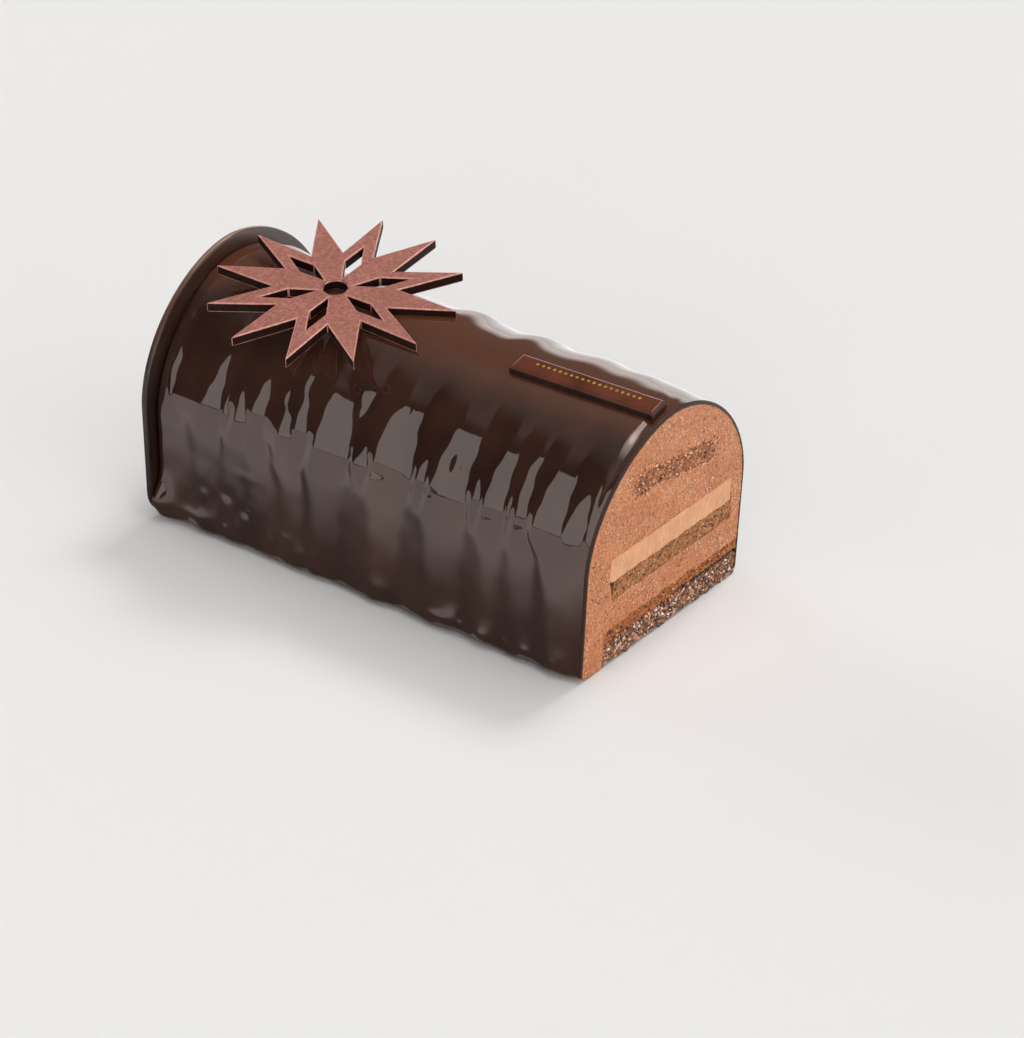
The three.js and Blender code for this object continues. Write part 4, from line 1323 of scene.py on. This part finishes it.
def lay_star(piece):
    """Turns the flat star, leans it as it lies on the dome, and bevels its edges."""
    mesh = piece.data
    normal = Vector((math.sin(STAR_DIP_ALONG), math.sin(STAR_DIP_ACROSS), 1)).normalized()
    along = (Vector((1, 0, 0)) - normal * normal.x).normalized()
    across = normal.cross(along)
    lean = Matrix((along, across, normal)).transposed().to_4x4()
    highest = max(v.co.z for v in mesh.vertices)
    mesh.transform(Matrix.Translation((0, 0, -highest)))
    mesh.transform(Matrix.Rotation(math.radians(STAR_SPIN), 4, "Z"))
    mesh.transform(Matrix.Translation(STAR_TOP_CENTRE * MM) @ lean)
    mesh.shade_smooth()
    mesh.set_sharp_from_angle(angle=math.radians(30))
    bevel = piece.modifiers.new("edge", "BEVEL")
    bevel.width = STAR_BEVEL * MM
    bevel.segments = 2
    bevel.limit_method = "ANGLE"
    bevel.angle_limit = math.radians(30)
    # The bevel takes the pale edge material: a painted highlight.
    bevel.material = len(mesh.materials) - 1
    bevel.harden_normals = True


lay_star(star)
low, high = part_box("star")
print("star node:", [round(c / MM, 1) for c in (*low, *high)])

# %% [markdown]
# The bar is a strip of dark chocolate with a raised, bevelled edge. A row of tiny gilded lozenges,
# a plain ornament, runs along it. One lozenge is made and a tree repeats it along a line.

# %% Bar
BAR_LENGTH = 52.0
BAR_WIDTH = 7.8
BAR_THICKNESS = 2.8
BAR_BEVEL = 0.75
BAR_TOP_CENTRE = Vector((58.7, -6.0, 81.2))
BAR_TURN = Matrix.Rotation(math.radians(1.3), 4, "Z")
BAR_DIP = Matrix.Rotation(math.radians(9.2), 4, "X")
BAR_FRAME = Matrix.Translation(BAR_TOP_CENTRE * MM) @ BAR_DIP @ BAR_TURN
LOZENGES = 19
LOZENGE_LENGTH = 1.25
LOZENGE_ROW = 37.0


def bar_piece(material, side_material):
    half = np.array([BAR_LENGTH / 2, BAR_WIDTH / 2])
    corners = np.array([[-1, -1], [1, -1], [1, 1], [-1, 1]])
    levels = [
        (0.0, -BAR_THICKNESS),
        (0.0, -BAR_BEVEL * 1.1),
        (0.15, -BAR_BEVEL * 0.75),
        (BAR_BEVEL * 0.55, -0.27),
        (BAR_BEVEL * 1.3, 0.0),
        (BAR_BEVEL * 1.3 + 0.25, 0.0),
    ]
    points = []
    for inset, height in levels:
        for corner in corners:
            points.append([*(corner * (half - inset)), height])
    faces = [[3, 2, 1, 0]]
    for i in range(len(levels) - 1):
        for j in range(4):
            after = (j + 1) % 4
            faces.append([4 * i + j, 4 * i + after, 4 * i + 4 + after, 4 * i + 4 + j])
    last = 4 * (len(levels) - 1)
    faces.append([last, last + 1, last + 2, last + 3])
    piece = new_piece("small_bar", points, faces, material, sharp_above=25)
    piece.data.materials.append(side_material)
    # Steep faces take the dark side material: painted shade on the bar's sides.
    for face in piece.data.polygons:
        face.material_index = int(face.normal.z < 0.6)
    piece.data.transform(BAR_FRAME)
    return piece


def bar_material(name, stops):
    """Moulded chocolate: the sheen of tempering, and a faint drag of the cloth that cleaned the mould."""
    material, tree, shader, place = new_material(name, 0.26, 1.4)
    tone = add_node(tree, "ShaderNodeValToRGB", {"stops": stops}, {"Fac": grain(tree, place, 9)})
    drag = grain(tree, place, 1.4, 3, stretch=(0.3, 1.5, 1))
    tone = laid_over(tree, tone, drag, 0.5, 0.8, 0.3, stops[1][1])
    dress(tree, shader, tone, 0.03, [(drag, 1.0)])
    return material


bar = bar_piece(
    bar_material("moulded_chocolate", [(0.35, "#4c2617"), (0.6, "#633423")]),
    bar_material("painted_shade_bar_side", [(0.35, "#1e0e09"), (0.6, "#2c1610")]),
)
print("bar:", len(bar.data.polygons), "faces")

# %% Row of lozenges
LOZENGE_LIFT = 0.16
ROW_OFFSET = 0.9


def lozenge_tree():
    inputs = {"Count": "Int", "Row length": "Float", "Lozenge radius": "Float", "Lift": "Float"}
    tree, identifiers, given = new_tree("lozenge_row", inputs | {"Material": "Material"}, "Row")
    half = add_node(tree, "ShaderNodeMath", {"operation": "MULTIPLY", 1: 0.5}, {0: given["Row length"]})
    back = add_node(tree, "ShaderNodeMath", {"operation": "MULTIPLY", 1: -1.0}, {0: half})
    start = add_node(tree, "ShaderNodeCombineXYZ", links={"X": back})
    end = add_node(tree, "ShaderNodeCombineXYZ", links={"X": half})
    links = {"Count": given["Count"], "Start Location": start, "Offset": end}
    line = add_node(tree, "GeometryNodeMeshLine", {"mode": "END_POINTS"}, links)
    links = {"Radius": given["Lozenge radius"], "Depth": given["Lift"]}
    lozenge = add_node(tree, "GeometryNodeMeshCylinder", {"Vertices": 4}, links)
    links = {"Points": line, "Instance": lozenge}
    placed = add_node(tree, "GeometryNodeInstanceOnPoints", links=links)
    coloured = real_in_material(tree, placed, given["Material"])
    add_node(tree, "NodeGroupOutput", links={"Row": coloured})
    return tree, identifiers


def gilding_material():
    """Edible gold leaf, brushed on: a soft yellow metal."""
    material, tree, shader, place = new_material("edible_gold", 0.4)
    stops = [(0.3, "#c8962a"), (0.7, "#f0cf5a")]
    tone = add_node(tree, "ShaderNodeValToRGB", {"stops": stops}, {"Fac": grain(tree, place, 0.6, 2)})
    dress(tree, shader, tone)
    shader.inputs["Metallic"].default_value = 0.75
    return material


LOZENGE_TREE, LOZENGE_INPUTS = lozenge_tree()
row_values = {"Count": LOZENGES, "Row length": LOZENGE_ROW * MM, "Lozenge radius": LOZENGE_LENGTH / 2 * MM}
row_values |= {"Lift": LOZENGE_LIFT * MM, "Material": gilding_material()}
lozenges = grown("gilded_row", LOZENGE_TREE, LOZENGE_INPUTS, row_values)
lozenges.data.transform(BAR_FRAME @ Matrix.Translation((0, ROW_OFFSET * MM, 0)))
print("lozenges:", len(lozenges.data.polygons), "faces")

# %% [markdown]
# The light is a studio's. A broad key stands behind the cake and high, so the shadow falls towards
# the camera. The room is drawn by direction, a patch of light at a time, because the glaze shows it:
# strong and low at the right, where the cut faces, soft above, dim behind, and dark at the front but
# for one tall panel that the sheets of glaze mirror. A dark card lies on the floor along the log, a
# painted shadow of the log on the floor, and a lit one lies behind it. Only mirrors see them: one
# deepens the foot of the glaze, one whitens its far rim.

# %% Light
FLOOR_TONE = "#e2e1e1"
KEY_ELEVATION = math.radians(54)
KEY_TURN = math.radians(4)
KEY_STRENGTH = 0.95
KEY_ANGLE = math.radians(15)
PANEL_DISTANCE = 4.0
PANEL_TURN = math.radians(16.5)
PANEL_HALF_ANGLE = math.radians(14.5)
PANEL_FOOT = 0.08
PANEL_TOP = 4.14
PANEL_RADIANCE = 1.1
AMBIENT = 0.038
CARD_START = 42.0
CARD_NEAR = 14.0
CARD_FAR = 56.0
CARD_DEPTH = 0.74
LIGHT_CARD_RADIANCE = 1.3

# Patches of the room: radiance, then edges as axis of the direction, dark end and bright end.
ROOM = (
    (2.9, ("X", 0.1, 0.5), ("Y", -0.8, -0.3), ("Y", 0.85, 0.35), ("Z", 0.45, 0.2)),
    (2.4, ("X", 0.1, 0.3), ("Y", -0.6, -0.8), ("Z", 0.8, 0.6)),
    (1.1, ("X", 0.0, 0.4), ("Y", 0.3, 0.0), ("Z", 0.45, 0.7)),
    (0.2, ("Z", 0.74, 0.85)),
    (0.1, ("Y", 0.0, 0.4)),
    (1.4, ("Y", 0.1, 0.4), ("Z", 0.25, 0.08)),
    (1.7, ("Z", 0.93, 0.985), ("Y", 0.15, -0.05)),
    (2.7, ("X", -0.06, 0.04), ("X", 0.38, 0.28), ("Y", -0.15, -0.05), ("Z", 0.72, 0.82)),
    (3.2, ("X", -0.8, -0.86), ("Y", -0.2, -0.1), ("Y", 0.4, 0.3), ("Z", 0.04, 0.1), ("Z", 0.6, 0.45)),
)
print("patches of the room:", len(ROOM))

# %% Lamps


def add_key():
    light = bpy.data.lights.new("key", "SUN")
    light.energy = KEY_STRENGTH
    light.angle = KEY_ANGLE
    key = bpy.data.objects.new("key", light)
    away = Vector((math.sin(KEY_TURN), math.cos(KEY_TURN), 0)) * math.cos(KEY_ELEVATION)
    towards = -(away + Vector((0, 0, math.sin(KEY_ELEVATION))))
    key.rotation_euler = towards.to_track_quat("-Z", "Y").to_euler()
    bpy.context.scene.collection.objects.link(key)


def add_panel():
    """The tall panel at the front, which the sheets of the near wall mirror."""
    light = bpy.data.lights.new("panel", "AREA")
    light.shape = "RECTANGLE"
    light.size = 2 * PANEL_DISTANCE * math.tan(PANEL_HALF_ANGLE)
    light.size_y = PANEL_TOP - PANEL_FOOT
    light.energy = PANEL_RADIANCE * math.pi * light.size * light.size_y
    light.color = (0.92, 1.0, 0.98)
    panel = bpy.data.objects.new("panel", light)
    direction = Vector((-math.sin(PANEL_TURN), -math.cos(PANEL_TURN), 0))
    panel.location = direction * PANEL_DISTANCE + Vector((0, 0, (PANEL_FOOT + PANEL_TOP) / 2))
    panel.rotation_euler = (-direction).to_track_quat("-Z", "Y").to_euler()
    panel.visible_camera = False
    bpy.context.scene.collection.objects.link(panel)


add_key()
add_panel()

# %% Room


def add_room():
    """The world, brightness by direction: the patches' soft edges are multiplied, the patches added."""
    world = bpy.data.worlds.new("studio")
    world.use_nodes = True
    tree = world.node_tree
    tree.nodes.clear()
    direction = add_node(tree, "ShaderNodeTexCoord").outputs["Generated"]
    axes = add_node(tree, "ShaderNodeSeparateXYZ", links={"Vector": direction}).outputs
    total = None
    for radiance, *edges in ROOM:
        patch = None
        for axis, dark, bright in edges:
            settings = {"interpolation_type": "SMOOTHSTEP", "From Min": dark, "From Max": bright}
            edge = add_node(tree, "ShaderNodeMapRange", settings, {"Value": axes[axis]})
            links = {0: edge} if patch is None else {0: edge, 1: patch}
            patch = add_node(tree, "ShaderNodeMath", {"operation": "MULTIPLY", 1: 1.0}, links)
        links = {0: patch} if total is None else {0: patch, 2: total}
        settings = {"operation": "MULTIPLY_ADD", 1: radiance, 2: AMBIENT}
        total = add_node(tree, "ShaderNodeMath", settings, links)
    background = add_node(tree, "ShaderNodeBackground", {"Color": linear("#fffefc")}, {"Strength": total})
    add_node(tree, "ShaderNodeOutputWorld", links={"Surface": background})
    bpy.context.scene.world = world


add_room()
print("room:", len(bpy.context.scene.world.node_tree.nodes), "nodes")

# %% Stage


def add_sheet(name, low, high, height, material):
    """A flat rectangle on the stage, in metres."""
    corners = [(low[0], low[1], height), (high[0], low[1], height), (high[0], high[1], height)]
    mesh = bpy.data.meshes.new(name)
    mesh.from_pydata([*corners, (low[0], high[1], height)], [], [[0, 1, 2, 3]])
    mesh.materials.append(material)
    sheet = bpy.data.objects.new(name, mesh)
    bpy.context.scene.collection.objects.link(sheet)
    return sheet


def floor_material():
    material, _, shader, _ = new_material("paper_sweep", 1.0)
    shader.inputs["Base Color"].default_value = linear(FLOOR_TONE)
    shader.inputs["Specular IOR Level"].default_value = 0.0
    return material


def card_material():
    """Black, fading out away from the log: a painted shadow that only mirrors see."""
    material, tree, shader, place = new_material("painted_shadow_card", 0.5)
    across = add_node(tree, "ShaderNodeSeparateXYZ", links={"Vector": place}).outputs["Y"]
    settings = {"interpolation_type": "SMOOTHSTEP", "To Max": CARD_DEPTH}
    settings["From Min"] = -(CARD_START + CARD_FAR) * MM
    settings["From Max"] = -(CARD_START + CARD_NEAR) * MM
    fade = add_node(tree, "ShaderNodeMapRange", settings, {"Value": across})
    shader.inputs["Base Color"].default_value = (0.0, 0.0, 0.0, 1.0)
    shader.inputs["Specular IOR Level"].default_value = 0.0
    tree.links.new(fade.outputs["Result"], shader.inputs["Alpha"])
    return material


def light_card_material():
    """A lit sheet behind the log, which whitens the far side of the crown."""
    material, _, shader, _ = new_material("light_card", 0.5)
    shader.inputs["Base Color"].default_value = (0.0, 0.0, 0.0, 1.0)
    shader.inputs["Specular IOR Level"].default_value = 0.0
    shader.inputs["Emission Color"].default_value = linear("#fffefc")
    shader.inputs["Emission Strength"].default_value = LIGHT_CARD_RADIANCE
    return material


bpy.context.scene.view_settings.view_transform = "Standard"
add_sheet("floor", (-6, -6), (6, 6), -0.0001, floor_material())
painted_shadow_card = add_sheet("painted_shadow_card", (-0.25, -0.11), (0.12, -0.0435), 0.0001, card_material())
light_card = add_sheet("light_card", (-1.5, 0.1), (1.5, 3.0), 0.0001, light_card_material())
for card in (painted_shadow_card, light_card):
    for ray in ("camera", "diffuse", "transmission", "shadow", "volume_scatter"):
        setattr(card, "visible_" + ray, False)
print("cards:", painted_shadow_card.name, light_card.name)

# %% [markdown]
# Each finer piece stands for its solid and rides on the one body.

# %% Pieces on their body
PIECES = (
    (glaze, "mirror_glaze", "glaze"),
    (mousse, "mousse", "mousse"),
    (layers["cream_strip"], "cream", "cream_layer"),
    (layers["middle_sponge"], "biscuit", "middle_biscuit"),
    (layers["top_sponge"], "dark_biscuit", "top_biscuit"),
    (layers["bottom_sponge"], "dark_biscuit", "bottom_biscuit"),
    (layers["chocolate_sheet"], "dark_chocolate", "chocolate_film"),
    (layers["crunch_slab"], "crunch", "crunch_base"),
    (lumps["crunch_flakes"], "crunch", None),
    (lumps["bottom_crumbs"], "dark_biscuit", None),
    (lumps["middle_crumbs"], "biscuit", None),
    (lumps["top_crumbs"], "dark_biscuit", None),
    (lumps["top_smear"], "dark_biscuit", None),
    (lumps["top_bits"], "mousse", None),
    (plate, "dark_chocolate", "end_plate"),
    (star, "velvet_chocolate", "star"),
    (bar, "dark_chocolate", "plaque"),
    (lozenges, None, None),
)
for piece, slot, node in PIECES:
    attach(piece, "root")
    if node:
        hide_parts(node)
